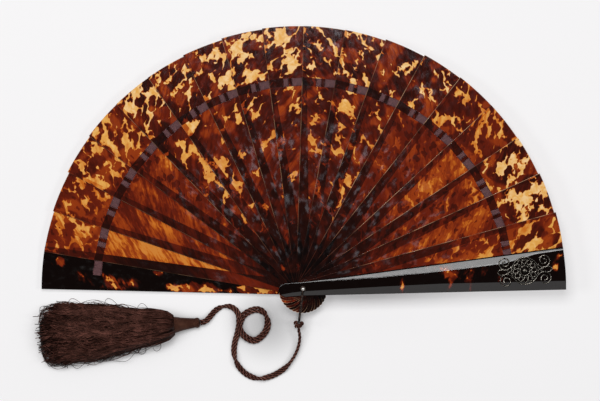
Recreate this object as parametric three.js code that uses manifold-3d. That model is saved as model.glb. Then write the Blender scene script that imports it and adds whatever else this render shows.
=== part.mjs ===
// A brise fan: tortoiseshell blades that turn on one rivet and are laced together by a silk ribbon
// near their tips, with a cord and a tassel hung from the rivet's bail. It lies open on its back, in
// millimetres, +Z up, with the origin where the rivet's axis meets the table.
import * as THREE from "three";
import { mergeVertices } from "three/addons/utils/BufferGeometryUtils.js";
import Module from "manifold-3d";

const wasm = await Module();
wasm.setup();

// Blades: thin flat sticks between two thicker guards, all measured from the rivet's axis
const STICK_COUNT = 18;
const BLADE_REACH = 240;
const TAIL_REACH = 22.5;
const TAIL_ROUND = 8;
const STICK_WIDTH_AT_RIVET = 13;
const STICK_WIDTH_AT_TIP = 40.5;
const STICK_THICKNESS = 0.7;
const GUARD_WIDTH_AT_RIVET = 12.4;
const GUARD_WIDTH_AT_TIP = 39;
const GUARD_THICKNESS = 2;
const BEVEL_WIDTH = 8;
const BEVEL_DROP = 0.7;
const BEVEL_START = 12;

// The open fan, in degrees anticlockwise from +X: each blade's step on from the one below it
const BACK_GUARD_ANGLE = 175.5;
const FIRST_STEP_ANGLE = 8.4;
const STICK_STEP_ANGLE = 9.12;
const LAST_STEP_ANGLE = 7.56;

// Ribbon, laced through three slits in each stick and glued to the two guards
const RIBBON_FROM_TIP = 51;
const RIBBON_WIDTH = 7.5;
const RIBBON_THICKNESS = 0.12;
const RIBBON_CLEARANCE = 0.05;
const RIBBON_SLANT = 0.4;
const RIBBON_END_INSET = 2;
const RIBBON_GLUED_PAST_AXIS = 1.7;
const SLIT_SPACING = 3.9;
const SLIT_WIDTH = 1;
const SLIT_END_CLEARANCE = 0.3;

// Rivet, with a flat foot under the fan and a ball head on top
const PIN_RADIUS = 1.2;
const PIN_CLEARANCE = 0.1;
const FOOT_RADIUS = 2.6;
const FOOT_THICKNESS = 0.9;
const BALL_RADIUS = 1.6;
const BALL_CENTRE_RISE = 0.6;

// Bail: a wire loop round the tails, with a flattened eye on each end of the rivet
const BAIL_ANGLE = -97;
const BAIL_WIRE = 1.8;
const BAIL_ROOM = 8.5;
const BAIL_BEND = 4;
const BAIL_CLEARANCE = 0.3;
const RIVET_CLEARANCE = 0.1;
const EYE_RADIUS = 2.9;
const EYE_THICKNESS = 1.4;

// Knot of the doubled cord on the bail's bar
const KNOT_HEIGHT = 6.6;
const KNOT_TURN_THICKNESS = 2;
const KNOT_SIDE_RADIUS = 2.5;
const KNOT_SIDE_SPREAD = 2.2;
const KNOT_NOSE_RADIUS = 2.9;
const KNOT_NOSE_REACH = 3.6;
const KNOT_CLEARANCE = 0.3;

// Doubled cord: the route's points as x, y and how far the cord is lifted off the table there
const CORD_ROUTE = [
  [-4.0, -37.6, 5.4],
  [-3.0, -45.0, 2.6],
  [-4.3, -53.6, 0.5],
  [-7.8, -62.0, 0],
  [-13.1, -69.7, 0],
  [-20.1, -76.0, 0],
  [-29.9, -81.0, 0],
  [-41.1, -82.9, 0],
  [-50.9, -79.6, 0],
  [-58.0, -73.3, 0],
  [-62.1, -65.6, 0],
  [-63.4, -57.8, 0],
  [-62.5, -49.4, 0],
  [-60.1, -41.0, 0],
  [-58.3, -33.3, 0],
  [-55.1, -25.6, 0],
  [-48.8, -21.1, 0],
  [-41.9, -19.6, 0],
  [-35.8, -22.4, 0],
  [-32.7, -29.1, 0],
  [-33.1, -36.8, 0],
  [-37.6, -43.8, 0],
  [-44.6, -48.0, 0.6],
  [-52.0, -45.3, 2.2],
  [-57.3, -38.9, 3.3],
  [-58.6, -31.9, 3.4],
  [-59.0, -24.9, 3.3],
  [-62.1, -19.6, 2.0],
  [-68.4, -16.5, 0.4],
  [-75.5, -17.5, 0],
  [-80.8, -20.9, 0.3],
  [-84.8, -25.4, 1.2],
  [-88.2, -29.2, 2.4],
  [-91.4, -31.0, 3.1],
  [-94.3, -31.37, 3.3],
];
const STRAND_DIAMETER = 2.4;
const STRAND_GAP = 0.7;
const STRAND_SIDES = 8;
const STRAND_STEPS = 72;
const HALF_TWIST_LENGTH = 22;
const HALF_TWISTS_AT = [66, 96, 163, 240];

// Tassel lying on its side: stations along its axis with the width and the height at each
const TASSEL_START = [-94.6, -31.4];
const TASSEL_ANGLE = 185;
const TASSEL_GAP = 0.3;
const NECK_STATIONS = [
  [0, 6, 6],
  [1.5, 9, 9],
  [7, 9.8, 9.8],
  [15, 11.5, 11.5],
  [23, 15, 15],
];
const SKIRT_STATIONS = [
  [0, 15, 15],
  [2, 20, 18],
  [7.5, 27.5, 21],
  [19, 34, 22],
  [34, 36.5, 21],
  [61, 48, 19],
  [90, 54, 16.5],
  [112, 53, 13.5],
  [121, 43, 10],
  [124, 28, 7],
];
const TASSEL_SIDES = 18;
const TASSEL_STEPS = 16;

// Openwork ornament on the front guard: a rosette with four scrolls, in wire that is flat underneath
const ORNAMENT_FROM_TIP = 37;
const ORNAMENT_ACROSS = 0.6;
const ORNAMENT_WIRE = 1.1;
const ORNAMENT_SIDES = 6;
const ORNAMENT_LOOP_OVERLAP = 1.02;
const ROSETTE_RADIUS = 11;
const ROSETTE_HOLLOW_RADIUS = 4.8;
const ROSETTE_PETALS = 8;
const SCROLL_RADIUS = 7;
const SCROLL_EYE_RADIUS = 1.8;
const SCROLL_TURNS = 1.4;

// Layers, counted up from the table: foot, bail, back guard, sticks, front guard, bail, ball head
const LAYER_GAP = 2 * RIBBON_THICKNESS + 3 * RIBBON_CLEARANCE;
const LAYER_PITCH = STICK_THICKNESS + LAYER_GAP;
const BACK_LEG_Z = FOOT_THICKNESS + RIVET_CLEARANCE + BAIL_WIRE / 2;
const BACK_GUARD_Z = BACK_LEG_Z + BAIL_WIRE / 2 + BAIL_CLEARANCE;
const FIRST_STICK_Z = BACK_GUARD_Z + GUARD_THICKNESS + LAYER_GAP;
const FRONT_GUARD_Z = FIRST_STICK_Z + STICK_COUNT * LAYER_PITCH;
const FRONT_LEG_Z = FRONT_GUARD_Z + GUARD_THICKNESS + BAIL_CLEARANCE + BAIL_WIRE / 2;
const PIN_TOP = FRONT_LEG_Z + BAIL_WIRE / 2 + RIVET_CLEARANCE;
const BAIL_REACH = TAIL_REACH + BAIL_ROOM;

// Places along a blade, from the rivet's axis
const RIBBON_RADIUS = BLADE_REACH - RIBBON_FROM_TIP;
const ORNAMENT_ALONG = BLADE_REACH - ORNAMENT_FROM_TIP;

const STICK = {
  widthAtRivet: STICK_WIDTH_AT_RIVET,
  widthAtTip: STICK_WIDTH_AT_TIP,
  thickness: STICK_THICKNESS,
};
const GUARD = {
  widthAtRivet: GUARD_WIDTH_AT_RIVET,
  widthAtTip: GUARD_WIDTH_AT_TIP,
  thickness: GUARD_THICKNESS,
};
const ARC_SEGMENTS = 6;
const ROUND_SIDES = 16;
const MERGE_DISTANCE = 1e-3;

const FINISHES = {
  shell: { color: 0xa9601f, roughness: 0.2, metalness: 0 },
  darkShell: { color: 0x24100a, roughness: 0.15, metalness: 0 },
  ribbon: { color: 0x4a2f33, roughness: 0.6, metalness: 0 },
  silver: { color: 0xd8d8d4, roughness: 0.25, metalness: 1 },
  oxidisedSilver: { color: 0x3d3d38, roughness: 0.4, metalness: 0.9 },
  darkWire: { color: 0x2c2624, roughness: 0.35, metalness: 0.9 },
  cord: { color: 0x4a2a22, roughness: 0.7, metalness: 0 },
  tassel: { color: 0x3b1f18, roughness: 0.65, metalness: 0 },
};

const fan = new THREE.Group();

function addPiece(parent, name, geometry, finish) {
  const piece = new THREE.Mesh(geometry, new THREE.MeshStandardMaterial(FINISHES[finish]));
  piece.name = name;
  parent.add(piece);
  return piece;
}

// A group turned about the rivet's axis, in degrees
function turnedGroup(angle) {
  const group = new THREE.Group();
  group.rotation.z = THREE.MathUtils.degToRad(angle);
  fan.add(group);
  return group;
}

// A closed geometry as a solid that can be joined and cut
function solidOf(geometry) {
  const bare = new THREE.BufferGeometry();
  bare.setAttribute("position", geometry.getAttribute("position"));
  bare.setIndex(geometry.index);
  const merged = mergeVertices(bare, MERGE_DISTANCE);
  const corners = Array.from(merged.index.array);
  const kept = [];
  for (let i = 0; i < corners.length; i += 3) {
    const face = corners.slice(i, i + 3);
    if (new Set(face).size === 3) kept.push(...face);
  }
  const vertProperties = merged.getAttribute("position").array;
  const triVerts = new Uint32Array(kept);
  return new wasm.Manifold(new wasm.Mesh({ numProp: 3, vertProperties, triVerts }));
}

function geometryOf(solid) {
  const mesh = solid.getMesh();
  const geometry = new THREE.BufferGeometry();
  geometry.setAttribute("position", new THREE.BufferAttribute(mesh.vertProperties, 3));
  geometry.setIndex(new THREE.BufferAttribute(mesh.triVerts, 1));
  geometry.computeVertexNormals();
  return geometry;
}

function joined(geometries) {
  return geometries.map(solidOf).reduce((whole, solid) => whole.add(solid));
}

function polygon(radius, sides) {
  return Array.from({ length: sides }, (_, i) => {
    const angle = (2 * Math.PI * i) / sides;
    return new THREE.Vector2(radius * Math.cos(angle), radius * Math.sin(angle));
  });
}

// A round wire or strand along a curve, with flat ends
function tubeAlong(curve, diameter, sides, steps) {
  const section = new THREE.Shape(polygon(diameter / 2, sides));
  return new THREE.ExtrudeGeometry(section, { steps, extrudePath: curve });
}

// A turned piece: its profile is given as radius and height, and its axis stands along +Z
function turned(profile) {
  const points = profile.map(([radius, height]) => new THREE.Vector2(radius, height));
  return new THREE.LatheGeometry(points, ROUND_SIDES).rotateX(Math.PI / 2);
}

// Half the angle that a blade's tip spans, seen from the rivet
function tipSwing(blade) {
  return Math.asin(blade.widthAtTip / 2 / BLADE_REACH);
}

function halfWidth(blade, along) {
  const corner = BLADE_REACH * Math.cos(tipSwing(blade));
  const widening = (blade.widthAtTip - blade.widthAtRivet) * (along / corner);
  return (blade.widthAtRivet + widening) / 2;
}

// A blade along +X, seen from above: a rounded tail, straight edges that spread from the rivet,
// a tip that follows the open fan's circle, and a hole for the rivet
function bladeShape(blade) {
  const half = blade.widthAtRivet / 2;
  const swing = tipSwing(blade);
  const tailStart = TAIL_ROUND - TAIL_REACH;
  const shape = new THREE.Shape();
  shape.moveTo(tailStart, -half);
  shape.lineTo(0, -half);
  shape.absarc(0, 0, BLADE_REACH, -swing, swing, false);
  shape.lineTo(0, half);
  shape.lineTo(tailStart, half);
  shape.absellipse(tailStart, 0, TAIL_ROUND, half, Math.PI / 2, 1.5 * Math.PI, false, 0);
  shape.holes.push(new THREE.Path(polygon(PIN_RADIUS + PIN_CLEARANCE, ROUND_SIDES)));
  return shape;
}

const SLITS_ACROSS = [SLIT_SPACING, 0, -SLIT_SPACING];

function slitPath(across) {
  const halfLength = RIBBON_WIDTH / 2 + SLIT_END_CLEARANCE;
  const near = RIBBON_RADIUS - halfLength;
  const far = RIBBON_RADIUS + halfLength;
  const low = across - SLIT_WIDTH / 2;
  const high = across + SLIT_WIDTH / 2;
  return new THREE.Path([
    new THREE.Vector2(near, low),
    new THREE.Vector2(far, low),
    new THREE.Vector2(far, high),
    new THREE.Vector2(near, high),
  ]);
}

function plate(shape, thickness) {
  const options = { depth: thickness, bevelEnabled: false, curveSegments: ARC_SEGMENTS };
  return new THREE.ExtrudeGeometry(shape, options);
}

// Closed outline of a strip of even thickness along a line of points, with mitred corners
function stripShape(points, thickness) {
  const normals = points.slice(1).map((point, i) => {
    const run = point.clone().sub(points[i]).normalize();
    return new THREE.Vector2(-run.y, run.x);
  });
  const mitres = points.map((_, i) => {
    const before = normals[Math.max(i - 1, 0)];
    const after = normals[Math.min(i, normals.length - 1)];
    const mitre = before.clone().add(after).normalize();
    return mitre.multiplyScalar(thickness / 2 / mitre.dot(before));
  });
  const upper = points.map((point, i) => point.clone().add(mitres[i]));
  const lower = points.map((point, i) => point.clone().sub(mitres[i]));
  return new THREE.Shape([...lower, ...upper.reverse()]);
}

// A length of ribbon across a blade: its line is given as places across the blade and heights
// over the blade's underside
function ribbonAlong(line) {
  const points = line.map(([across, height]) => new THREE.Vector2(across, height));
  const strip = stripShape(points, RIBBON_THICKNESS);
  const options = { depth: RIBBON_WIDTH, bevelEnabled: false };
  const across = new THREE.Vector3(0, 1, 0);
  const up = new THREE.Vector3(0, 0, 1);
  const along = new THREE.Vector3(1, 0, 0);
  const ribbon = new THREE.ExtrudeGeometry(strip, options);
  ribbon.applyMatrix4(new THREE.Matrix4().makeBasis(across, up, along));
  return ribbon.translate(RIBBON_RADIUS - RIBBON_WIDTH / 2, 0, 0);
}

const RIBBON_OFFSET = RIBBON_CLEARANCE + RIBBON_THICKNESS / 2;

// Behind the stick, out through the first slit, in through the second, out again through the third
function lacedRibbonLine() {
  const end = halfWidth(STICK, RIBBON_RADIUS) - RIBBON_END_INSET;
  const behind = -RIBBON_OFFSET;
  const front = STICK_THICKNESS + RIBBON_OFFSET;
  const line = [[end, behind]];
  SLITS_ACROSS.forEach((slit, i) => {
    const [from, to] = i % 2 === 0 ? [behind, front] : [front, behind];
    line.push([slit + RIBBON_SLANT / 2, from]);
    line.push([slit - RIBBON_SLANT / 2, to]);
  });
  line.push([-end, front]);
  return line.reverse();
}

// Back guard, the blade that lies undermost, with the ribbon's first end glued on its inner face
const backGuard = turnedGroup(BACK_GUARD_ANGLE);
const guardRibbonEnd = halfWidth(GUARD, RIBBON_RADIUS) - RIBBON_END_INSET;
const backPlate = addPiece(backGuard, "back_guard", plate(bladeShape(GUARD), GUARD_THICKNESS), "darkShell");
backPlate.position.z = BACK_GUARD_Z;
const overBackGuard = GUARD_THICKNESS + RIBBON_OFFSET;
const backEnd = ribbonAlong([
  [-guardRibbonEnd, overBackGuard],
  [RIBBON_GLUED_PAST_AXIS, overBackGuard],
]);
addPiece(backGuard, "ribbon_back_end", backEnd, "ribbon").position.z = BACK_GUARD_Z;

// Sticks, each one layer above the last and turned one step further clockwise
const stickShape = bladeShape(STICK);
stickShape.holes.push(...SLITS_ACROSS.map(slitPath));
for (let i = 0; i < STICK_COUNT; i += 1) {
  const number = String(i + 1).padStart(2, "0");
  const stick = turnedGroup(BACK_GUARD_ANGLE - FIRST_STEP_ANGLE - i * STICK_STEP_ANGLE);
  stick.position.z = FIRST_STICK_Z + i * LAYER_PITCH;
  addPiece(stick, `stick_${number}`, plate(stickShape, STICK_THICKNESS), "shell");
  addPiece(stick, `ribbon_${number}`, ribbonAlong(lacedRibbonLine()), "ribbon");
}

// A half-space over the plane that cuts one long bevel: it starts on the blade's edge near the
// rivet and is widest and deepest at the tip; side is +1 or -1 for the two edges
function bevelCutter(blade, side) {
  const tip = BLADE_REACH * Math.cos(tipSwing(blade));
  const edge = side * halfWidth(blade, tip);
  const start = new THREE.Vector3(BEVEL_START, side * halfWidth(blade, BEVEL_START), blade.thickness);
  const inner = new THREE.Vector3(tip, edge - side * BEVEL_WIDTH, blade.thickness);
  const outer = new THREE.Vector3(tip, edge, blade.thickness - BEVEL_DROP);
  const normal = inner.sub(start).cross(outer.sub(start)).normalize().multiplyScalar(side);
  const size = 4 * BLADE_REACH;
  const cutter = new THREE.BoxGeometry(size, size, size).translate(0, 0, size / 2);
  const up = new THREE.Vector3(0, 0, 1);
  cutter.applyQuaternion(new THREE.Quaternion().setFromUnitVectors(up, normal));
  return solidOf(cutter.translate(start.x, start.y, start.z));
}

// Front guard, on top of the sticks, bevelled along both edges of its outer face, with the
// ribbon's last end glued under it
const OPEN_FAN_ANGLE = FIRST_STEP_ANGLE + (STICK_COUNT - 1) * STICK_STEP_ANGLE + LAST_STEP_ANGLE;
const frontGuard = turnedGroup(BACK_GUARD_ANGLE - OPEN_FAN_ANGLE);
frontGuard.position.z = FRONT_GUARD_Z;
const frontPlate = [1, -1].reduce(
  (solid, side) => solid.subtract(bevelCutter(GUARD, side)),
  solidOf(plate(bladeShape(GUARD), GUARD_THICKNESS)),
);
addPiece(frontGuard, "front_guard", geometryOf(frontPlate), "darkShell");
const frontEnd = ribbonAlong([
  [-RIBBON_GLUED_PAST_AXIS, -RIBBON_OFFSET],
  [guardRibbonEnd, -RIBBON_OFFSET],
]);
addPiece(frontGuard, "ribbon_front_end", frontEnd, "ribbon");

// A flat wire line in the ornament's plane, from a function of its share from 0 to 1
class OrnamentLine extends THREE.Curve {
  constructor(line) {
    super();
    this.line = line;
  }
  getPoint(share, target = new THREE.Vector3()) {
    return target.set(...this.line(share), ORNAMENT_WIRE / 4);
  }
}

function polar(radius, angle, [x, y] = [0, 0]) {
  return [x + radius * Math.cos(angle), y + radius * Math.sin(angle)];
}

// Half of a closed line about the ornament's middle, which runs a little into the other half
function halfLoop(radiusAt, start) {
  const turn = Math.PI * ORNAMENT_LOOP_OVERLAP;
  return (share) => polar(radiusAt(start + turn * share), start + turn * share);
}

function petalRadius(angle) {
  const middle = (ROSETTE_RADIUS + ROSETTE_HOLLOW_RADIUS) / 2;
  const swell = (ROSETTE_RADIUS - ROSETTE_HOLLOW_RADIUS) / 2;
  return middle - swell * Math.cos(ROSETTE_PETALS * angle);
}

// A scroll that springs from the end of a petal and curls in on its own eye
function scrollLine(petalAngle, curl) {
  const centre = polar(ROSETTE_RADIUS + SCROLL_RADIUS, petalAngle);
  return (share) => {
    const angle = petalAngle + Math.PI + curl * SCROLL_TURNS * 2 * Math.PI * share;
    return polar(THREE.MathUtils.lerp(SCROLL_RADIUS, SCROLL_EYE_RADIUS, share), angle, centre);
  };
}

const ROSETTE_STEPS = 32;
const SCROLL_STEPS = 22;

function ornamentGeometry() {
  const wire = (line, steps) => tubeAlong(new OrnamentLine(line), ORNAMENT_WIRE, ORNAMENT_SIDES, steps);
  const starts = [0, Math.PI];
  const petals = starts.map((start) => wire(halfLoop(petalRadius, start), ROSETTE_STEPS));
  const ring = starts.map((start) => wire(halfLoop(() => ROSETTE_HOLLOW_RADIUS, start), SCROLL_STEPS / 2));
  const petalAngle = Math.PI / ROSETTE_PETALS;
  const scrolls = [
    [petalAngle, 1],
    [-petalAngle, -1],
    [Math.PI - petalAngle, -1],
    [Math.PI + petalAngle, 1],
  ].map(([angle, curl]) => wire(scrollLine(angle, curl), SCROLL_STEPS));
  const size = 8 * ROSETTE_RADIUS;
  const under = new THREE.BoxGeometry(size, size, ORNAMENT_WIRE).translate(0, 0, -ORNAMENT_WIRE / 2);
  return geometryOf(joined([...petals, ...ring, ...scrolls]).subtract(solidOf(under)));
}

const ornament = addPiece(frontGuard, "guard_ornament", ornamentGeometry(), "oxidisedSilver");
ornament.position.set(ORNAMENT_ALONG, ORNAMENT_ACROSS, GUARD_THICKNESS);

// Rivet: the foot and shank in one, and the ball head closed over the top
const rivet = turned([
  [0, 0],
  [FOOT_RADIUS, 0],
  [FOOT_RADIUS, FOOT_THICKNESS],
  [PIN_RADIUS, FOOT_THICKNESS],
  [PIN_RADIUS, PIN_TOP],
  [0, PIN_TOP],
]);
addPiece(fan, "rivet", rivet, "darkWire");
const ballStart = -Math.asin(BALL_CENTRE_RISE / BALL_RADIUS);
const ballProfile = [[0, 0]];
for (let i = 0; i <= ARC_SEGMENTS; i += 1) {
  const angle = THREE.MathUtils.lerp(ballStart, Math.PI / 2, i / ARC_SEGMENTS);
  const radius = i < ARC_SEGMENTS ? BALL_RADIUS * Math.cos(angle) : 0;
  ballProfile.push([radius, BALL_CENTRE_RISE + BALL_RADIUS * Math.sin(angle)]);
}
addPiece(fan, "rivet_head", turned(ballProfile), "silver").position.z = PIN_TOP;

// Bail: two legs along +X of its own group, the bar that joins them, and an eye on each leg
const bail = turnedGroup(BAIL_ANGLE);

function bailCurve() {
  const at = (x, z) => new THREE.Vector3(x, 0, z);
  const legStart = (PIN_RADIUS + PIN_CLEARANCE + EYE_RADIUS) / 2;
  const bendX = BAIL_REACH - BAIL_BEND;
  const upperBendZ = FRONT_LEG_Z - BAIL_BEND;
  const lowerBendZ = BACK_LEG_Z + BAIL_BEND;
  const curve = new THREE.CurvePath();
  const corner = (from, by, to) => curve.add(new THREE.QuadraticBezierCurve3(from, by, to));
  curve.add(new THREE.LineCurve3(at(legStart, FRONT_LEG_Z), at(bendX, FRONT_LEG_Z)));
  corner(at(bendX, FRONT_LEG_Z), at(BAIL_REACH, FRONT_LEG_Z), at(BAIL_REACH, upperBendZ));
  curve.add(new THREE.LineCurve3(at(BAIL_REACH, upperBendZ), at(BAIL_REACH, lowerBendZ)));
  corner(at(BAIL_REACH, lowerBendZ), at(BAIL_REACH, BACK_LEG_Z), at(bendX, BACK_LEG_Z));
  curve.add(new THREE.LineCurve3(at(bendX, BACK_LEG_Z), at(legStart, BACK_LEG_Z)));
  return curve;
}

function bailEye(z) {
  const inner = PIN_RADIUS + PIN_CLEARANCE;
  const low = z - EYE_THICKNESS / 2;
  const high = z + EYE_THICKNESS / 2;
  return turned([[inner, low], [EYE_RADIUS, low], [EYE_RADIUS, high], [inner, high], [inner, low]]);
}

const BAIL_STEPS = 40;
const bailWire = tubeAlong(bailCurve(), BAIL_WIRE, STRAND_SIDES, BAIL_STEPS);
const bailSolid = joined([bailWire, bailEye(FRONT_LEG_Z), bailEye(BACK_LEG_Z)]);
addPiece(bail, "bail", geometryOf(bailSolid), "darkWire");

// Knot: one turn round the bail's bar, a lobe on each side of it and a nose where the cord leaves
function knotGeometry() {
  const hole = BAIL_WIRE / 2 + KNOT_CLEARANCE;
  const ring = new THREE.TorusGeometry(
    hole + KNOT_TURN_THICKNESS / 2, KNOT_TURN_THICKNESS / 2, STRAND_SIDES, ROUND_SIDES,
  );
  const lobe = (radius, x, y) =>
    new THREE.SphereGeometry(radius, ROUND_SIDES, STRAND_SIDES).translate(x, y, 0);
  const lobes = [
    lobe(KNOT_SIDE_RADIUS, hole, KNOT_SIDE_SPREAD),
    lobe(KNOT_SIDE_RADIUS, hole, -KNOT_SIDE_SPREAD),
    lobe(KNOT_NOSE_RADIUS, KNOT_NOSE_REACH, 0),
  ];
  const bore = new THREE.CylinderGeometry(hole, hole, 4 * KNOT_NOSE_RADIUS, ROUND_SIDES);
  return geometryOf(joined([ring, ...lobes]).subtract(solidOf(bore.rotateX(Math.PI / 2))));
}

addPiece(bail, "cord_knot", knotGeometry(), "cord").position.set(BAIL_REACH, 0, KNOT_HEIGHT);

// Cord: two strands side by side along one route, which change sides at each half twist. Flat on
// the table both lie at one height; half way through a twist one strand lies on the other.
const cordRoute = new THREE.CatmullRomCurve3(CORD_ROUTE.map((point) => new THREE.Vector3(...point)));

function twistAngle(along) {
  const turns = HALF_TWISTS_AT.map((place) =>
    THREE.MathUtils.smoothstep(along, place - HALF_TWIST_LENGTH / 2, place + HALF_TWIST_LENGTH / 2),
  );
  return Math.PI * turns.reduce((sum, turn) => sum + turn, 0);
}

function strandCurve(side) {
  const length = cordRoute.getLength();
  const offset = (STRAND_DIAMETER + STRAND_GAP) / 2;
  const points = Array.from({ length: STRAND_STEPS + 1 }, (_, i) => {
    const share = i / STRAND_STEPS;
    const heading = cordRoute.getTangentAt(share);
    const across = new THREE.Vector3(-heading.y, heading.x, 0).normalize();
    const angle = twistAngle(share * length);
    const rise = offset * (Math.abs(Math.sin(angle)) + side * Math.sin(angle));
    const point = cordRoute.getPointAt(share);
    point.addScaledVector(across, side * offset * Math.cos(angle));
    return point.setZ(point.z + STRAND_DIAMETER / 2 + rise);
  });
  return new THREE.CatmullRomCurve3(points);
}

const strandA = strandCurve(1);
const strandB = strandCurve(-1);
addPiece(fan, "cord_strand_a", tubeAlong(strandA, STRAND_DIAMETER, STRAND_SIDES, STRAND_STEPS), "cord");
addPiece(fan, "cord_strand_b", tubeAlong(strandB, STRAND_DIAMETER, STRAND_SIDES, STRAND_STEPS), "cord");

const GAP_POINTS = 500;

// The least room between two strands, or between one strand and the later turns of itself
function leastGap(first, second) {
  const pointsA = first.getSpacedPoints(GAP_POINTS);
  const pointsB = second.getSpacedPoints(GAP_POINTS);
  const near = first === second ? Math.ceil((4 * STRAND_DIAMETER * GAP_POINTS) / first.getLength()) : 0;
  const gaps = pointsA.flatMap((point, i) =>
    pointsB.slice(first === second ? i + near : 0).map((other) => point.distanceTo(other)),
  );
  return gaps.reduce((least, gap) => Math.min(least, gap), Infinity) - STRAND_DIAMETER;
}

const cordGaps = [leastGap(strandA, strandA), leastGap(strandB, strandB), leastGap(strandA, strandB)];
console.log(`least cord gaps ${cordGaps.map((gap) => gap.toFixed(2)).join(", ")} mm`);
console.log(`cord length ${strandA.getLength().toFixed(1)}, ${strandB.getLength().toFixed(1)} mm`);

// A soft solid lying on the table: rounded sections along +X, through the stations given
function lyingForm(stations) {
  const spine = new THREE.CatmullRomCurve3(stations.map((station) => new THREE.Vector3(...station)));
  const sections = spine.getPoints(TASSEL_STEPS);
  const positions = sections.flatMap(({ x, y: width, z: height }) =>
    polygon(0.5, TASSEL_SIDES).flatMap((point) => [x, width * point.x, height * (0.5 + point.y)]),
  );
  const last = sections[TASSEL_STEPS];
  positions.push(sections[0].x, 0, sections[0].z / 2, last.x, 0, last.z / 2);
  const startHub = sections.length * TASSEL_SIDES;
  const faces = [];
  for (let side = 0; side < TASSEL_SIDES; side += 1) {
    const next = (side + 1) % TASSEL_SIDES;
    for (let i = 0; i < TASSEL_STEPS; i += 1) {
      const here = i * TASSEL_SIDES;
      const there = here + TASSEL_SIDES;
      faces.push(here + side, there + next, there + side);
      faces.push(here + side, here + next, there + next);
    }
    const end = TASSEL_STEPS * TASSEL_SIDES;
    faces.push(startHub, next, side, startHub + 1, end + side, end + next);
  }
  const form = new THREE.BufferGeometry();
  form.setAttribute("position", new THREE.Float32BufferAttribute(positions, 3));
  form.setIndex(faces);
  form.computeVertexNormals();
  return form;
}

// Tassel: a bound neck that the cord runs into, and a spreading skirt of threads
const tassel = turnedGroup(TASSEL_ANGLE);
tassel.position.set(...TASSEL_START, 0);
addPiece(tassel, "tassel_neck", lyingForm(NECK_STATIONS), "cord");
const skirt = addPiece(tassel, "tassel_skirt", lyingForm(SKIRT_STATIONS), "tassel");
skirt.position.x = NECK_STATIONS.at(-1)[0] + TASSEL_GAP;

export default fan;
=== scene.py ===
"""A brise fan: tortoiseshell blades on one rivet, laced with silk ribbon, with a silk cord and tassel.

Lengths are in metres and angles in degrees. The rivet's axis is the Z axis, and the table is z = 0.
"""

import bpy
import numpy as np
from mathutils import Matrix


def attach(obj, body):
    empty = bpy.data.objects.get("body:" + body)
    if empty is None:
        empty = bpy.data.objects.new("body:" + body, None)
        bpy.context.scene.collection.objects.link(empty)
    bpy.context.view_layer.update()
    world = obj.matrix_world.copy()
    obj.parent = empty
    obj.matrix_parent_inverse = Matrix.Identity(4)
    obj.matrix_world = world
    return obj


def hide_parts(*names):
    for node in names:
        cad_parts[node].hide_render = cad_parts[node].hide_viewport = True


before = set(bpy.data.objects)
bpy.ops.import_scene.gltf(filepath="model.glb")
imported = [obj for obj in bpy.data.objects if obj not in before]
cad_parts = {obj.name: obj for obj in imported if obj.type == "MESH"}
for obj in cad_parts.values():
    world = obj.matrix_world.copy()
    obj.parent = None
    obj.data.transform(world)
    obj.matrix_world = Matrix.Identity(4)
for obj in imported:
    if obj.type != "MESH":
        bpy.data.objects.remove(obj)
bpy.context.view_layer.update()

# Rivet: a dark wire pin through every blade, turned on its own axis, with a flat foot hammered out
# under the fan. The blades and the bail turn on it, and its ball head is closed on last.
PIN_RADIUS = 0.0012
FOOT_RADIUS = 0.0026
FOOT_THICKNESS = 0.0009
PIN_TOP = 0.02931
FOOT_EDGE = 0.0002
ROUND_SIDES = 40
# The values that most of a cloudy noise takes, those that turn metal dull, and bright and dull roughness.
CLOUDY = (0.3, 0.7)
TARNISHED = (0.38, 0.64)
METAL_ROUGHNESS = (0.22, 0.5)


def linear(code):
    """An sRGB colour code such as e6b25f as the linear RGBA that a shader's socket holds."""
    srgb = np.array([int(code[i : i + 2], 16) for i in (0, 2, 4)]) / 255
    light = np.where(srgb <= 0.04045, srgb / 12.92, ((srgb + 0.055) / 1.055) ** 2.4)
    return (*light.tolist(), 1.0)


def node(tree, kind, sockets=None, **settings):
    """A new shader node: settings are its properties, sockets its inputs as values or links."""
    made = tree.nodes.new("ShaderNode" + kind)
    for name, setting in settings.items():
        setattr(made, name, setting)
    for name, given in (sockets or {}).items():
        if isinstance(given, bpy.types.NodeSocket):
            tree.links.new(given, made.inputs[name])
        else:
            made.inputs[name].default_value = given
    return made


def number(tree, operation, first, second=0.0):
    """The result of one Math node."""
    return node(tree, "Math", {0: first, 1: second}, operation=operation).outputs[0]


def plus(tree, first, second):
    """The sum of two values."""
    return number(tree, "ADD", first, second)


def between(tree, value, start, end, low=0.0, high=1.0):
    """A smooth step of value, from low at start to high at end."""
    sockets = {"Value": value, "From Min": start, "From Max": end, "To Min": low, "To Max": high}
    return node(tree, "MapRange", sockets, interpolation_type="SMOOTHSTEP").outputs["Result"]


def colour_mix(tree, share, first, second):
    """The first colour at a share of 0 and the second at 1."""
    return node(tree, "Mix", {0: share, 6: first, 7: second}, data_type="RGBA").outputs[2]


def noise(tree, place, scale, detail, roughness=0.5):
    """A cloudy value round 0.5, with scale clouds to the metre."""
    sockets = {"Vector": place, "Scale": scale, "Detail": detail, "Roughness": roughness}
    return node(tree, "TexNoise", sockets).outputs["Fac"]


def new_group(name, inputs, outputs):
    """An empty node group, as its tree, its inputs' sockets and its outputs' sockets."""
    tree = bpy.data.node_groups.new(name, "ShaderNodeTree")
    for way, sockets in (("INPUT", inputs), ("OUTPUT", outputs)):
        for socket, kind in sockets.items():
            tree.interface.new_socket(name=socket, in_out=way, socket_type="NodeSocket" + kind)
    return tree, tree.nodes.new("NodeGroupInput").outputs, tree.nodes.new("NodeGroupOutput").inputs


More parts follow.
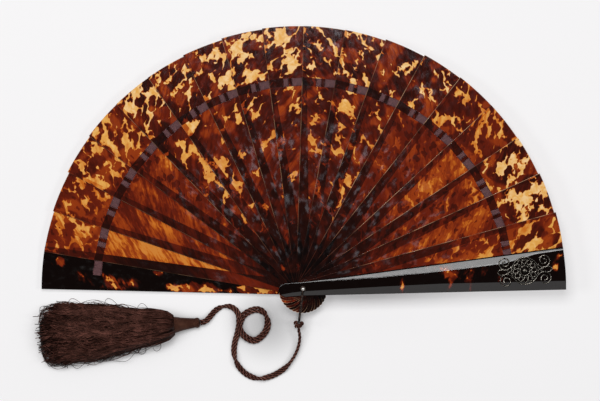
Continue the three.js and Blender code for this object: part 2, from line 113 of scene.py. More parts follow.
def new_material(name, **sockets):
    """A material with one Principled shader, as the material, its tree and the shader."""
    material = bpy.data.materials.new(name)
    material.use_nodes = True
    tree = material.node_tree
    shader = tree.nodes["Principled BSDF"]
    for socket, value in sockets.items():
        shader.inputs[socket.replace("_", " ")].default_value = value
    return material, tree, shader


def tarnish_group():
    """Metal that is bright where it is rubbed and dull in between, with a matching roughness."""
    inputs = {"Bright": "Color", "Dull": "Color", "Scale": "Float"}
    tree, given, result = new_group("tarnish", inputs, {"Color": "Color", "Roughness": "Float"})
    place = node(tree, "TexCoord").outputs["Object"]
    cloud = noise(tree, place, given["Scale"], 4.0, 0.6)
    dull = between(tree, cloud, *TARNISHED)
    tree.links.new(colour_mix(tree, dull, given["Bright"], given["Dull"]), result["Color"])
    tree.links.new(between(tree, cloud, *CLOUDY, *METAL_ROUGHNESS), result["Roughness"])
    return tree


tarnish = tarnish_group()


def metal_material(name, bright, dull, scale, softer=0.0):
    """Polished or oxidised metal, with its gloss as much softer as is asked."""
    material, tree, shader = new_material(name, Metallic=1.0)
    sockets = {"Bright": linear(bright), "Dull": linear(dull), "Scale": scale}
    wear_and_highlight = node(tree, "Group", sockets, node_tree=tarnish)
    tree.links.new(wear_and_highlight.outputs["Color"], shader.inputs["Base Color"])
    roughness = plus(tree, wear_and_highlight.outputs["Roughness"], softer)
    tree.links.new(roughness, shader.inputs["Roughness"])
    return material


dark_wire = metal_material("dark_wire", "382e2a", "15100e", 900.0)


def add_piece(name, points, faces, material, body, replaced=(), attributes=None, smooth=True):
    """Puts a mesh into the scene as a piece of the fan that rides on a body."""
    mesh = bpy.data.meshes.new(name)
    mesh.from_pydata(np.asarray(points).tolist(), [], [list(face) for face in faces])
    for attribute, values in (attributes or {}).items():
        values = np.asarray(values, np.float32)
        kind, field = ("FLOAT", "value") if values.ndim == 1 else ("FLOAT_VECTOR", "vector")
        made = mesh.attributes.new(attribute, kind, "POINT")
        made.data.foreach_set(field, values.ravel())
    if smooth:
        mesh.shade_smooth()
    mesh.materials.append(material)
    piece = bpy.data.objects.new(name, mesh)
    bpy.context.scene.collection.objects.link(piece)
    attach(piece, body)
    if replaced:
        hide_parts(*replaced)
    return piece


def tube_faces(rings, sides, tubes=1, caps=True):
    """Faces of tubes whose points are in the order tube, ring, side: quads round each, and two caps."""
    ring, side = np.meshgrid(np.arange(rings - 1), np.arange(sides), indexing="ij")
    here = ring * sides + side
    after = ring * sides + (side + 1) % sides
    quads = np.stack([here, after, after + sides, here + sides], axis=-1).reshape(-1, 4)
    starts = np.arange(tubes) * rings * sides
    faces = (quads + starts[:, None, None]).reshape(-1, 4).tolist()
    if caps:
        first = (np.arange(sides)[::-1] + starts[:, None]).tolist()
        last = (np.arange(sides) + (rings - 1) * sides + starts[:, None]).tolist()
        faces += first + last
    return faces


def turned(profile, sides=ROUND_SIDES):
    """A lathe surface: each profile point (radius, height) becomes a ring about the Z axis."""
    radius, height = np.asarray(profile, float).T[:, :, None]
    angle = np.linspace(0, 2 * np.pi, sides, endpoint=False)
    ring = [radius * np.cos(angle), radius * np.sin(angle), height + 0 * angle]
    return np.stack(ring, axis=-1).reshape(-1, 3)


RIVET_PROFILE = [
    (FOOT_RADIUS - FOOT_EDGE, 0.0),
    (FOOT_RADIUS, FOOT_EDGE),
    (FOOT_RADIUS, FOOT_THICKNESS - FOOT_EDGE),
    (FOOT_RADIUS - FOOT_EDGE, FOOT_THICKNESS),
    (PIN_RADIUS, FOOT_THICKNESS),
    (PIN_RADIUS, PIN_TOP),
]
add_piece(
    "rivet_pin",
    turned(RIVET_PROFILE),
    tube_faces(len(RIVET_PROFILE), ROUND_SIDES),
    dark_wire,
    "back_guard",
    ["rivet"],
    smooth=False,
)

# Back guard: the undermost blade, a thick plate of dark shell with a few amber clouds in it. Its
# inner face shows past the first stick, and the ribbon's first end is glued to it.
BLADE_REACH = 0.240
TAIL_REACH = 0.0225
GUARD_TAIL_ROUND = 0.008
GUARD_HALF_AT_RIVET = 0.0062
GUARD_HALF_AT_TIP = 0.0195
GUARD_THICKNESS = 0.002
BACK_GUARD_ANGLE = 175.5
BACK_GUARD_Z = 0.0031
HOLE_RADIUS = 0.0013
HOLE_FLAT = 0.0005
RIM_WIDTH = 0.0005
EDGE_ROUND, EDGE_SEGMENTS = 0.00014, 3
SHARP_EDGE = 40.0
RIBBON_RADIUS = 0.189
SLIT_HALF_LENGTH = 0.0038
SLIT_HALF_WIDTH = 0.0005
SLITS_ACROSS = np.array([0.0039, 0.0, -0.0039])
TAIL_ROWS, BODY_ROWS, TIP_ROWS = 8, 40, 12
COLUMN_SHARES = (0.3, 0.6, 0.8, 0.93, 1.0)
TIP_BOW_POWER = 6


def stations():
    """Places along a blade: the tail, the rivet's hole, the body, the slits' two ends and the tip."""
    tail = np.linspace(-TAIL_REACH + RIM_WIDTH, -HOLE_RADIUS, TAIL_ROWS)[:-1]
    hole = [-HOLE_RADIUS, -HOLE_FLAT, HOLE_FLAT, HOLE_RADIUS]
    body = np.linspace(HOLE_RADIUS, RIBBON_RADIUS - SLIT_HALF_LENGTH, BODY_ROWS)[1:]
    tip = np.linspace(RIBBON_RADIUS + SLIT_HALF_LENGTH, BLADE_REACH - RIM_WIDTH, TIP_ROWS)
    return np.concatenate([[-TAIL_REACH], tail, hole, body, tip, [BLADE_REACH]])


def blade_half(half_at_rivet, half_at_tip):
    """Half the blade's width at each station: even on the tail, then spreading in a straight line."""
    spread = np.clip(stations() / BLADE_REACH, 0, 1)
    return half_at_rivet + (half_at_tip - half_at_rivet) * spread


def stick_columns(half):
    """Places across one half of a blade: by the hole, both sides of a slit, evenly on, and the rim."""
    slit = SLITS_ACROSS[0]
    fixed = [HOLE_FLAT, HOLE_RADIUS, slit - SLIT_HALF_WIDTH, slit + SLIT_HALF_WIDTH]
    columns = [np.full_like(half, place) for place in fixed]
    room = half - RIM_WIDTH - fixed[-1]
    columns += [fixed[-1] + room * share for share in COLUMN_SHARES]
    return [*columns, half]


def blade_plan(half, columns, tail_round, lower_columns=None):
    """Grids x and y of a blade that points along +X, one row for each station.

    The tail's rows bow out to a half ellipse, the tip's to the circle of the open fan, and the ring of
    points about the rivet is drawn onto a circle. The lower half has the upper half's columns unless its
    own are given.
    """
    y = np.stack([-column for column in reversed(lower_columns or columns)] + columns, axis=1)
    along = stations()[:, None]
    tip_drop = BLADE_REACH - np.sqrt(BLADE_REACH**2 - y[-1] ** 2)
    body = along - tip_drop * np.clip(along / BLADE_REACH, 0, 1) ** TIP_BOW_POWER
    round_end = tail_round * np.sqrt(np.clip(1 - (y / half[:, None]) ** 2, 0, 1))
    tail_share = (-HOLE_RADIUS - along) / (TAIL_REACH - HOLE_RADIUS)
    tail = -HOLE_RADIUS - tail_share * (TAIL_REACH - tail_round - HOLE_RADIUS + round_end)
    x = np.where(along < -HOLE_RADIUS, tail, body)
    reach = np.maximum(np.abs(x), np.abs(y))
    on_ring = np.isclose(reach, HOLE_RADIUS)
    drawn_in = np.where(on_ring, HOLE_RADIUS / np.maximum(np.hypot(x, y), 1e-9), 1.0)
    return x * drawn_in, y * drawn_in


def cell_middles(grid):
    """The mean of each cell's four corners."""
    return (grid[:-1, :-1] + grid[1:, :-1] + grid[:-1, 1:] + grid[1:, 1:]) / 4


def solid_cells(x, y, slits):
    """True for each cell of a blade's grid that is shell, and not the rivet's hole or a slit."""
    x, y = cell_middles(x), cell_middles(y)
    kept = np.hypot(x, y) > HOLE_RADIUS
    for slit in slits:
        in_slit = (np.abs(x - RIBBON_RADIUS) < SLIT_HALF_LENGTH) & (np.abs(y - slit) < SLIT_HALF_WIDTH)
        kept &= ~in_slit
    return kept


def closed_plate(upper, lower, kept):
    """Points, faces and kept point numbers of a plate between two sheets of like grids.

    Each kept cell is a quad on both sheets, and each edge that only one cell has gets a wall.
    """
    rows, columns = upper.shape[:2]
    count = rows * columns
    number_of = np.arange(count).reshape(rows, columns)
    corners = [number_of[:-1, :-1], number_of[1:, :-1], number_of[1:, 1:], number_of[:-1, 1:]]
    top = np.stack(corners, axis=-1)[kept]
    edges = np.concatenate([np.roll(top, -turn, axis=1)[:, :2] for turn in range(4)])
    _, first, uses = np.unique(np.sort(edges, axis=1), axis=0, return_index=True, return_counts=True)
    start, end = edges[first[uses == 1]].T
    walls = np.stack([start, start + count, end + count, end], axis=1)
    faces = np.concatenate([top, top[:, ::-1] + count, walls])
    used, faces = np.unique(faces, return_inverse=True)
    points = np.concatenate([upper.reshape(-1, 3), lower.reshape(-1, 3)])[used]
    return points, faces.reshape(-1, 4), used


def turn_about_rivet(points, angle, lift=0.0):
    """Points turned about the Z axis and raised."""
    angle = np.radians(angle)
    x, y, z = np.moveaxis(np.asarray(points, float), -1, 0)
    turned_x = x * np.cos(angle) - y * np.sin(angle)
    turned_y = x * np.sin(angle) + y * np.cos(angle)
    return np.stack([turned_x, turned_y, z + lift], axis=-1)


def clouds(x, y, places):
    """The sum of soft bells, each given as along, across, its reach along and across, and its strength.

    A place with no strength has a strength of 1.
    """
    total = np.zeros_like(x)
    for along, across, long, wide, *given in places:
        bell = np.exp(-(((x - along) / long) ** 2) - ((y - across) / wide) ** 2)
        total += bell * (given[0] if given else 1.0)
    return total


def minus(tree, first, second):
    """The first value less the second."""
    return number(tree, "SUBTRACT", first, second)


def times(tree, first, second):
    """The product of two values."""
    return number(tree, "MULTIPLY", first, second)


def mixed(tree, share, first, second):
    """The first value at a share of 0 and the second at 1."""
    return node(tree, "Mix", {0: share, 2: first, 3: second}).outputs[0]


def axes_of(tree, place):
    """A place's three numbers, as the outputs X, Y and Z."""
    return node(tree, "SeparateXYZ", {0: place}).outputs


def scaled(tree, vector, scale):
    """A vector times a number."""
    return node(tree, "VectorMath", {0: vector, "Scale": scale}, operation="SCALE").outputs[0]


def moved(tree, place, way):
    """A place moved by a vector."""
    return node(tree, "VectorMath", {0: place, 1: way}).outputs[0]


def from_cell(tree, place, scale):
    """How far a place is from the middle of its cell, in cells, with scale cells to the metre."""
    return node(tree, "TexVoronoi", {"Vector": place, "Scale": scale}).outputs["Distance"]


def stretched(tree, place, stretch, lean=0.0):
    """A place for a pattern that is stretched along its own axes and leans by that angle."""
    sockets = {"Vector": place, "Rotation": (0.0, 0.0, np.radians(lean)), "Scale": stretch}
    return node(tree, "Mapping", sockets, vector_type="TEXTURE").outputs[0]


# The shell's pattern. A plate is one blade's own piece of shell, a step away from the next one in the
# pattern, and from one plate on the pattern is mirrored, so that it leans the other way.
PLATE_STEP = 0.5
MIRRORED_FROM = 10
MIRROR_SOFTNESS = 0.3
PATTERN_LEAN = -43.0
WANDERS_PER_METRE = 150.0
WANDER = 0.008
GENTLE_WANDER = 0.35
# Blotches: how far a cell is dark, which drifts, draws in where it is light, and is scalloped by lobes.
BLOTCHES_PER_METRE = 138.0
BLOTCH_STRETCH = (1.6, 0.8, 1.0)
BLOTCH_EDGE = (0.90, 0.74)
DRIFTS_PER_METRE = 45.0
LIGHT_DRAWS_IN = 0.21
LOBES_PER_METRE = 365.0
LOBE_MIDDLE = 0.55
LOBE_DEPTH = 0.26
SINGED_RIM = (-0.13, 0.0)
CLEAR_RIM = (-0.04, 0.045)
SPOTS = (-0.4, -0.52)
# Streaks, whose values give the depth of pigment in dark and amber blotches and in flames.
STREAK_STRETCH = (5.0, 0.9, 1.0)
FINE_STREAKS_PER_METRE, FINE_SHARE = 280.0, 0.55
BROAD_STREAKS_PER_METRE, BROAD_SHARE = 75.0, 0.45
STREAKED = (0.36, 0.64)
DARK_BLOTCH_DEPTH = (1.85, 3.2)
AMBER_BLOTCH_DEPTH = (0.85, 1.8)
FLAME_DEPTH = (1.85, 0.65)
AMBER_CLOUDS_PER_METRE, AMBER_FROM_TO = 50.0, (0.5, 0.6)
SINGED_DEPTH = 1.4
HONEY_CLOUDS_PER_METRE, HONEY_DEPTH = 200.0, (0.0, 0.24)
LIGHT_CLEARS_FLAME = 0.5
CLEAREST_FLAME, CLEAREST_SOFTNESS = 0.5, 0.4


def tortoiseshell_group():
    """How deep the pigment lies at a place in the shell, in the plate that the place's third number picks.

    Blotches are cells, dark from the middle to an edge, with clear honey between them. Flames are long
    streaks of amber, with small dark spots.
    """
    inputs = {"Place": "Vector", "Light": "Float", "Flame": "Float"}
    tree, given, result = new_group("tortoiseshell", inputs, {"Depth": "Float"})
    axes = axes_of(tree, given["Place"])
    half_way = MIRRORED_FROM * PLATE_STEP
    mirror = between(tree, axes["Z"], half_way - MIRROR_SOFTNESS * PLATE_STEP, half_way, 1.0, -1.0)
    mirrored = {"X": axes["X"], "Y": times(tree, axes["Y"], mirror), "Z": axes["Z"]}
    plain = node(tree, "CombineXYZ", mirrored).outputs[0]
    wander_sockets = {"Vector": plain, "Scale": WANDERS_PER_METRE, "Detail": 1.0, "Roughness": 0.5}
    wander = node(tree, "TexNoise", wander_sockets).outputs["Color"]
    wander = node(tree, "VectorMath", {0: wander, 1: (0.5, 0.5, 0.5)}, operation="SUBTRACT").outputs[0]
    wander = scaled(tree, wander, WANDER)
    place = moved(tree, plain, wander)
    leaning_place = stretched(tree, place, BLOTCH_STRETCH, PATTERN_LEAN)
    lobes = from_cell(tree, leaning_place, LOBES_PER_METRE)
    edge = between(tree, noise(tree, plain, DRIFTS_PER_METRE, 2.0), *CLOUDY, *BLOTCH_EDGE)
    edge = minus(tree, edge, times(tree, given["Light"], LIGHT_DRAWS_IN))
    scallop = times(tree, minus(tree, lobes, LOBE_MIDDLE), LOBE_DEPTH)
    edge = minus(tree, edge, scallop)
    rim = minus(tree, from_cell(tree, leaning_place, BLOTCHES_PER_METRE), edge)
    gentle = scaled(tree, wander, GENTLE_WANDER)
    streak_place = stretched(tree, moved(tree, plain, gentle), STREAK_STRETCH, PATTERN_LEAN)
    fine_streaks = noise(tree, streak_place, FINE_STREAKS_PER_METRE, 3.0, 0.65)
    fine_streaks = times(tree, fine_streaks, FINE_SHARE)
    broad_streaks = noise(tree, streak_place, BROAD_STREAKS_PER_METRE, 1.0)
    broad_streaks = times(tree, broad_streaks, BROAD_SHARE)
    streaks = plus(tree, fine_streaks, broad_streaks)
    amber = between(tree, noise(tree, plain, AMBER_CLOUDS_PER_METRE, 1.0), *AMBER_FROM_TO)
    dark_blotch = between(tree, streaks, *STREAKED, *DARK_BLOTCH_DEPTH)
    amber_blotch = between(tree, streaks, *STREAKED, *AMBER_BLOTCH_DEPTH)
    blotch = mixed(tree, amber, dark_blotch, amber_blotch)
    singed = mixed(tree, between(tree, rim, *SINGED_RIM), blotch, SINGED_DEPTH)
    honey = between(tree, noise(tree, place, HONEY_CLOUDS_PER_METRE, 2.0), *CLOUDY, *HONEY_DEPTH)
    blotched = mixed(tree, between(tree, rim, *CLEAR_RIM), singed, honey)
    flame = between(tree, streaks, *STREAKED, *FLAME_DEPTH)
    not_all_flame = between(tree, given["Flame"], 1.0, 0.8)
    flame = plus(tree, flame, times(tree, between(tree, rim, *SPOTS), not_all_flame))
    cleared = times(tree, given["Light"], LIGHT_CLEARS_FLAME)
    flame = minus(tree, flame, cleared)
    at_least = {0: flame, 1: CLEAREST_FLAME, 2: CLEAREST_SOFTNESS}
    flame = node(tree, "Math", at_least, operation="SMOOTH_MAX").outputs[0]
    tree.links.new(mixed(tree, given["Flame"], blotched, flame), result["Depth"])
    return tree


tortoiseshell = tortoiseshell_group()


def pigment(tree, place, light, flame):
    """The depth of pigment at a place in the shell."""
    sockets = {"Place": place, "Light": light, "Flame": flame}
    return node(tree, "Group", sockets, node_tree=tortoiseshell).outputs["Depth"]


# Clear honey shell darkens through amber and red-brown to black as the pigment gets deeper.
DEEPEST = 5.0
SHELL_TINTS = [
    (0.0, "f6d29c"),
    (0.05, "e7ab55"),
    (0.12, "c86d20"),
    (0.20, "983b11"),
    (0.30, "6a1f0c"),
    (0.42, "481409"),
    (0.60, "290c06"),
    (1.0, "0c0504"),
]


def colour_ramp(tree, place, stops):
    """Colours in order along a ramp, given as pairs of place and colour code."""
    made = node(tree, "ValToRGB", {"Fac": place})
    elements = made.color_ramp.elements
    while len(elements) < len(stops):
        elements.new(1.0)
    for element, (position, code) in zip(elements, stops):
        element.position = position
        element.color = linear(code)
    return made.outputs["Color"]


def shell_colour(tree, depth):
    """The colour of shell that holds that depth of pigment."""
    return colour_ramp(tree, number(tree, "DIVIDE", depth, DEEPEST), SHELL_TINTS)


def bump(tree, height, distance):
    """The normal of a surface that is raised by height times distance."""
    return node(tree, "Bump", {"Height": height, "Distance": distance}).outputs["Normal"]


# The polish: its roughness between rub marks, what finger-dulled patches add, and its waves.
RUBS_PER_METRE, RUBBED = 160.0, (0.3, 0.75)
RUBBED_ROUGHNESS = (0.04, 0.1)
PATCHES_PER_METRE, PATCHED = 145.0, (0.45, 0.82)
PATCH_STRETCH = (1.35, 0.75, 1.0)
PATCH_ROUGHNESS = (0.0, 0.37)
HANDLINGS_PER_METRE, HANDLED = 45.0, (0.4, 0.6)
HANDLED_SHARE = (0.5, 1.0)
WAVES_PER_METRE, WAVE_HEIGHT = 60.0, 0.001


def polish_group():
    """The polish of worked shell: it waves a little, with faint rub marks and finger-dulled patches."""
    inputs = {"Place": "Vector", "Wave": "Float", "Dulled": "Float"}
    tree, given, result = new_group("polish", inputs, {"Roughness": "Float", "Normal": "Vector"})
    place = given["Place"]
    patch_place = stretched(tree, place, PATCH_STRETCH)
    patches = between(tree, noise(tree, patch_place, PATCHES_PER_METRE, 2.0), *PATCHED, *PATCH_ROUGHNESS)
    handled = between(tree, noise(tree, place, HANDLINGS_PER_METRE, 1.0), *HANDLED, *HANDLED_SHARE)
    patches = times(tree, times(tree, patches, handled), given["Dulled"])
    rubbed = between(tree, noise(tree, place, RUBS_PER_METRE, 3.0, 0.6), *RUBBED, *RUBBED_ROUGHNESS)
    tree.links.new(plus(tree, rubbed, patches), result["Roughness"])
    height = times(tree, noise(tree, place, WAVES_PER_METRE, 1.0), given["Wave"])
    tree.links.new(bump(tree, height, WAVE_HEIGHT), result["Normal"])
    return tree


polish = polish_group()


def attribute(tree, name, output="Fac"):
    """One of the piece's own attributes."""
    return node(tree, "Attribute", attribute_name=name).outputs[output]


def polished(tree, shader, place, wave, dulled):
    """Gives a shader the polish of worked shell, dulled in patches as much as is asked."""
    gloss = node(tree, "Group", {"Place": place, "Wave": wave, "Dulled": dulled}, node_tree=polish)
    tree.links.new(gloss.outputs["Roughness"], shader.inputs["Roughness"])
    tree.links.new(gloss.outputs["Normal"], shader.inputs["Normal"])


# Thick dark shell: its veins, how much its light places raise them, and a little of the sticks' pattern.
VEINS_PER_METRE = 105.0
VEIN_STRETCH = (2.2, 0.9, 1.0)
VEIN_LEAN = -58.0
LIGHT_RAISES_VEINS = 0.3
VEINED, VEIN_DEPTH = (0.66, 0.86), (5.0, 0.2)
GUARD_PATTERN_LIGHT, GUARD_PATTERN_FLAME, GUARD_PATTERN_SHARE = 0.9, 0.15, 0.8
GUARD_WAVE = 0.02


def dark_shell_material():
    """Thick dark shell: black, with leaning amber veins where it is light."""
    material, tree, shader = new_material("dark_shell", IOR=1.36)
    place = attribute(tree, "blade_place", "Vector")
    level = noise(tree, stretched(tree, place, VEIN_STRETCH, VEIN_LEAN), VEINS_PER_METRE, 3.0, 0.55)
    raised = times(tree, attribute(tree, "light"), LIGHT_RAISES_VEINS)
    depth = between(tree, plus(tree, level, raised), *VEINED, *VEIN_DEPTH)
    pattern = pigment(tree, place, GUARD_PATTERN_LIGHT, GUARD_PATTERN_FLAME)
    depth = plus(tree, depth, times(tree, pattern, GUARD_PATTERN_SHARE))
    tree.links.new(shell_colour(tree, depth), shader.inputs["Base Color"])
    polished(tree, shader, place, GUARD_WAVE, attribute(tree, "dulled"))
    return material


dark_shell = dark_shell_material()


def round_edges(piece):
    """A live bevel that rounds a plate's sharp edges."""
    modifier = piece.modifiers.new("rounded_edges", "BEVEL")
    modifier.width = EDGE_ROUND
    modifier.segments = EDGE_SEGMENTS
    modifier.limit_method = "ANGLE"
    modifier.angle_limit = np.radians(SHARP_EDGE)


def plate_attributes(x, y, plate, light, used):
    """A blade's own place for its shell's pattern, and how light its shell is there."""
    place = np.stack([x, y, np.full_like(x, plate * PLATE_STEP)], axis=-1).reshape(-1, 3)
    both = {"blade_place": np.tile(place, (2, 1)), "light": np.tile(light.ravel(), 2)}
    return {name: values[used] for name, values in both.items()}


BACK_GUARD_DULLED = 0.6
BACK_GUARD_CLOUDS = [
    (0.034, 0.0045, 0.014, 0.0045, 1.9),
    (0.054, 0.0055, 0.012, 0.0045, 1.9),
    (0.072, 0.0080, 0.008, 0.0040, 1.1),
    (0.088, 0.0070, 0.012, 0.0060, 1.6),
    (0.106, 0.0080, 0.012, 0.0060, 1.5),
    (0.124, 0.0100, 0.008, 0.0040, 1.3),
    (0.135, -0.0035, 0.007, 0.0030, 1.1),
    (0.154, 0.0070, 0.010, 0.0070, 1.5),
    (0.177, 0.0090, 0.011, 0.0080, 1.6),
    (0.205, 0.0040, 0.016, 0.0130, 0.75),
    (0.225, -0.0065, 0.006, 0.0045, 1.7),
]
guard_half = blade_half(GUARD_HALF_AT_RIVET, GUARD_HALF_AT_TIP)
guard_x, guard_y = blade_plan(guard_half, stick_columns(guard_half), GUARD_TAIL_ROUND)
guard_low = np.stack([guard_x, guard_y, 0 * guard_x], axis=-1)
guard_high = guard_low + (0, 0, GUARD_THICKNESS)
points, faces, used = closed_plate(guard_high, guard_low, solid_cells(guard_x, guard_y, []))
back_light = clouds(guard_x, guard_y, BACK_GUARD_CLOUDS)
guard_attributes = plate_attributes(guard_x, guard_y, 0, back_light, used)
guard_attributes["dulled"] = np.full(len(used), BACK_GUARD_DULLED)
back_guard = add_piece(
    "back_guard_plate",
    turn_about_rivet(points, BACK_GUARD_ANGLE, BACK_GUARD_Z),
    faces,
    dark_shell,
    "back_guard",
    ["back_guard"],
    guard_attributes,
    smooth=False,
)
round_edges(back_guard)

# Sticks: eighteen thin plates of clear shell, each a layer above the one to its left. Where two lie
# over each other, the pigment of the lower one and the ribbon behind show through the upper one.
STICK_COUNT = 18
STICK_HALF_AT_RIVET = 0.0065
STICK_HALF_AT_TIP = 0.02025
STICK_THICKNESS = 0.0007
STICK_TAIL_ROUND = 0.016
FIRST_STEP = 8.4
STICK_STEP = 9.12
LAST_STEP = 7.56
FIRST_STICK_Z = 0.00549
LAYER_PITCH = 0.00109
RIBBON_WIDTH = 0.0075
TIP_SLANT = 0.02
TIP_SPREAD = 0.0006
TIP_CHANGE = 5.0
TIP_CUT_FROM = 0.2

# Light places in each stick's shell, as along, across, reach along and across, and a strength if not 1.
STICK_CLOUDS = {
    1: [
        (0.036, 0.0, 0.030, 0.012, 1.6), (0.150, 0.0, 0.040, 0.012, 0.8),
        (0.100, -0.002, 0.030, 0.009, 0.6), (0.208, -0.011, 0.010, 0.005),
        (0.226, 0.008, 0.008, 0.006),
    ],
    2: [
        (0.050, 0.0, 0.040, 0.020, 1.2), (0.018, 0.0, 0.014, 0.012, 0.6),
        (0.145, -0.004, 0.040, 0.007), (0.215, -0.003, 0.012, 0.007), (0.228, 0.009, 0.008, 0.005),
    ],
    3: [
        (0.055, 0.0, 0.040, 0.020, 1.0), (0.018, 0.0, 0.014, 0.012, 0.8),
        (0.150, -0.004, 0.040, 0.006), (0.212, -0.004, 0.009, 0.006),
        (0.234, -0.009, 0.010, 0.008),
    ],
    4: [
        (0.085, 0.0, 0.035, 0.020, 0.3), (0.018, 0.0, 0.014, 0.012, 0.8),
        (0.226, 0.010, 0.016, 0.007), (0.208, 0.0, 0.010, 0.006), (0.170, -0.009, 0.014, 0.006),
    ],
    5: [
        (0.212, 0.005, 0.014, 0.009), (0.234, -0.008, 0.008, 0.008),
        (0.172, -0.004, 0.012, 0.008, 1.4), (0.148, -0.006, 0.009, 0.005),
        (0.125, -0.003, 0.014, 0.007),
    ],
    6: [
        (0.234, 0.012, 0.007, 0.006), (0.204, -0.008, 0.008, 0.009), (0.222, -0.012, 0.009, 0.007),
        (0.178, 0.007, 0.007, 0.008), (0.126, 0.002, 0.016, 0.008, 1.4),
        (0.092, 0.0, 0.014, 0.007, 0.8), (0.0265, 0.0060, 0.0034, 0.0018, 2.7),
    ],
    7: [
        (0.232, -0.006, 0.010, 0.010), (0.204, -0.006, 0.008, 0.009),
        (0.167, -0.006, 0.012, 0.008), (0.112, 0.0, 0.010, 0.005, 0.5),
        (0.088, 0.0, 0.014, 0.007, 0.9),
    ],
    8: [
        (0.230, 0.011, 0.014, 0.008), (0.210, 0.008, 0.012, 0.007), (0.236, -0.004, 0.007, 0.008),
        (0.174, 0.009, 0.009, 0.007, 1.6), (0.155, -0.006, 0.012, 0.004, 1.5),
    ],
    9: [
        (0.231, 0.008, 0.012, 0.009), (0.205, -0.004, 0.010, 0.007), (0.218, -0.007, 0.012, 0.007),
        (0.178, -0.005, 0.008, 0.007), (0.160, -0.008, 0.012, 0.005),
    ],
    10: [
        (0.215, 0.010, 0.018, 0.004), (0.237, 0.006, 0.006, 0.008), (0.166, 0.004, 0.010, 0.008),
        (0.135, 0.004, 0.014, 0.006), (0.0180, 0.0058, 0.0036, 0.0018, 2.7),
    ],
    11: [
        (0.203, 0.008, 0.008, 0.009), (0.236, -0.004, 0.007, 0.009), (0.176, 0.005, 0.010, 0.010),
        (0.128, 0.002, 0.014, 0.006, 1.3), (0.055, 0.0, 0.014, 0.006, 0.8),
    ],
    12: [
        (0.222, -0.006, 0.010, 0.006), (0.206, 0.008, 0.008, 0.006), (0.178, 0.009, 0.006, 0.005),
        (0.120, 0.0, 0.013, 0.007), (0.095, 0.001, 0.012, 0.008, 1.5),
    ],
    13: [
        (0.232, 0.0, 0.006, 0.010), (0.218, 0.010, 0.005, 0.005),
    ],
    14: [
        (0.204, 0.0, 0.007, 0.005), (0.230, 0.009, 0.005, 0.006),
    ],
    15: [
        (0.226, 0.004, 0.010, 0.011), (0.166, 0.0, 0.022, 0.009),
    ],
    16: [
        (0.230, 0.004, 0.011, 0.011), (0.212, 0.009, 0.010, 0.008), (0.178, 0.008, 0.008, 0.006),
    ],
    17: [
        (0.228, 0.006, 0.014, 0.010), (0.207, 0.008, 0.012, 0.009), (0.225, -0.008, 0.010, 0.008),
        (0.140, 0.0, 0.030, 0.007), (0.090, 0.0, 0.018, 0.008, 1.0),
    ],
    18: [
        (0.215, -0.004, 0.016, 0.008), (0.234, 0.008, 0.008, 0.008),
        (0.165, -0.006, 0.015, 0.008, 1.6),
    ],
}
# How much of each stick is flamed amber inside the ribbon and past it. The others are blotched.
FLAMED = {1: 1.0, 2: 1.0, 3: 0.95, 4: 0.85, 13: 0.6, 14: 0.75, 15: 0.8, 16: 0.75, 17: 0.85, 18: 0.6}
FLAMED_PAST_RIBBON = {1: 0.55, 2: 0.45, 3: 0.35, 4: 0.35, 14: 0.3, 15: 0.4, 18: 0.3}
BLOTCHED_FLAMED, BLOTCHED_FLAMED_PAST_RIBBON = 0.1, 0.05
# How much lighter each stick is inside the ribbon, past it and on its tail, and how its flames darken it.
LIGHTER_INSIDE = {1: 0.75, 2: -0.7, 3: -0.7, 4: -0.15, 9: -0.2, 10: -0.35, 15: 0.4, 18: 0.5}
LIGHTER_PAST_RIBBON = {
    1: 0.3, 3: 0.25, 4: 0.4, 5: 0.2, 6: 0.1, 7: 0.1, 8: 0.1, 9: 0.2,
    10: 0.15, 11: 0.15, 12: -0.5, 13: -0.35, 14: -0.3, 15: 0.15, 16: 0.2, 17: -0.15,
}
ALL_LIGHTER_OUTWARDS, ALL_LIGHTER_PAST_RIBBON = 0.3, 0.1
TAIL_LIGHT = {11: -0.8, 12: -0.3, 13: -1.0, 14: 0.2, 15: -0.8, 16: 0.9, 17: -0.6, 18: 0.5}
DARK_TAIL_LIGHT = -1.6
DARKENING = {1: 0.0, 2: 0.0, 3: 0.0, 4: 0.6, 13: 0.7, 14: 0.8, 15: 0.8, 16: 0.4, 17: 0.1, 18: 0.6}
FLAMES_DARKEN = 0.3
# Painted highlight on the sticks' sides and tails, and how dulled their polish is, by stick.
SIDE_HIGHLIGHTS = ([4, 5, 12, 13], [0.4, 1.0, 1.0, 1.8])
TAIL_HIGHLIGHTS = ([9, 13], [0.55, 2.0])
DULLED_STICKS = ([2, 5, 12, 18], [0.5, 1.0, 1.0, 0.9])
DULLED_TIPS = {13: [(0.213, 0.0, 0.012, 0.012)], 10: [(0.225, -0.008, 0.010, 0.008)]}
# Places along a stick, each a pair that its shell changes between.
TAIL = (-0.006, -0.012)
BARE_TAIL = (-0.006, -0.013)
BY_RIVET = (0.06, 0.02)
OUTWARDS = (0.06, 0.16)
DARKENED = (0.15, 0.06)
DULLED_FROM, DULLED_TO = (0.02, 0.04), (0.13, 0.17)
HIGHLIGHT_PALES = (0.03, 0.11)
WAVES_CALM = (0.12, 0.18)
CLOUDED_INSIDE = (0.19, 0.14)
SHOWING_INSIDE = (0.205, 0.15)
PAST_RIBBON = (0.175, 0.205)
# What shows through a stick: the two blades behind it, darker where one is a guard, and its ribbon.
BEHIND_SHARE = 0.45
BEHIND_DEPTH = 0.25
GUARD_DARKENS, GUARD_DEPTH = (0.06, 0.12), (0.7, 2.4)
BLADE_EDGE_SOFTNESS = 0.00025
SHOWING_SHARE, TAIL_SHOWING = (0.25, 1.0), 0.15
RIBBON_DEPTH = 1.3
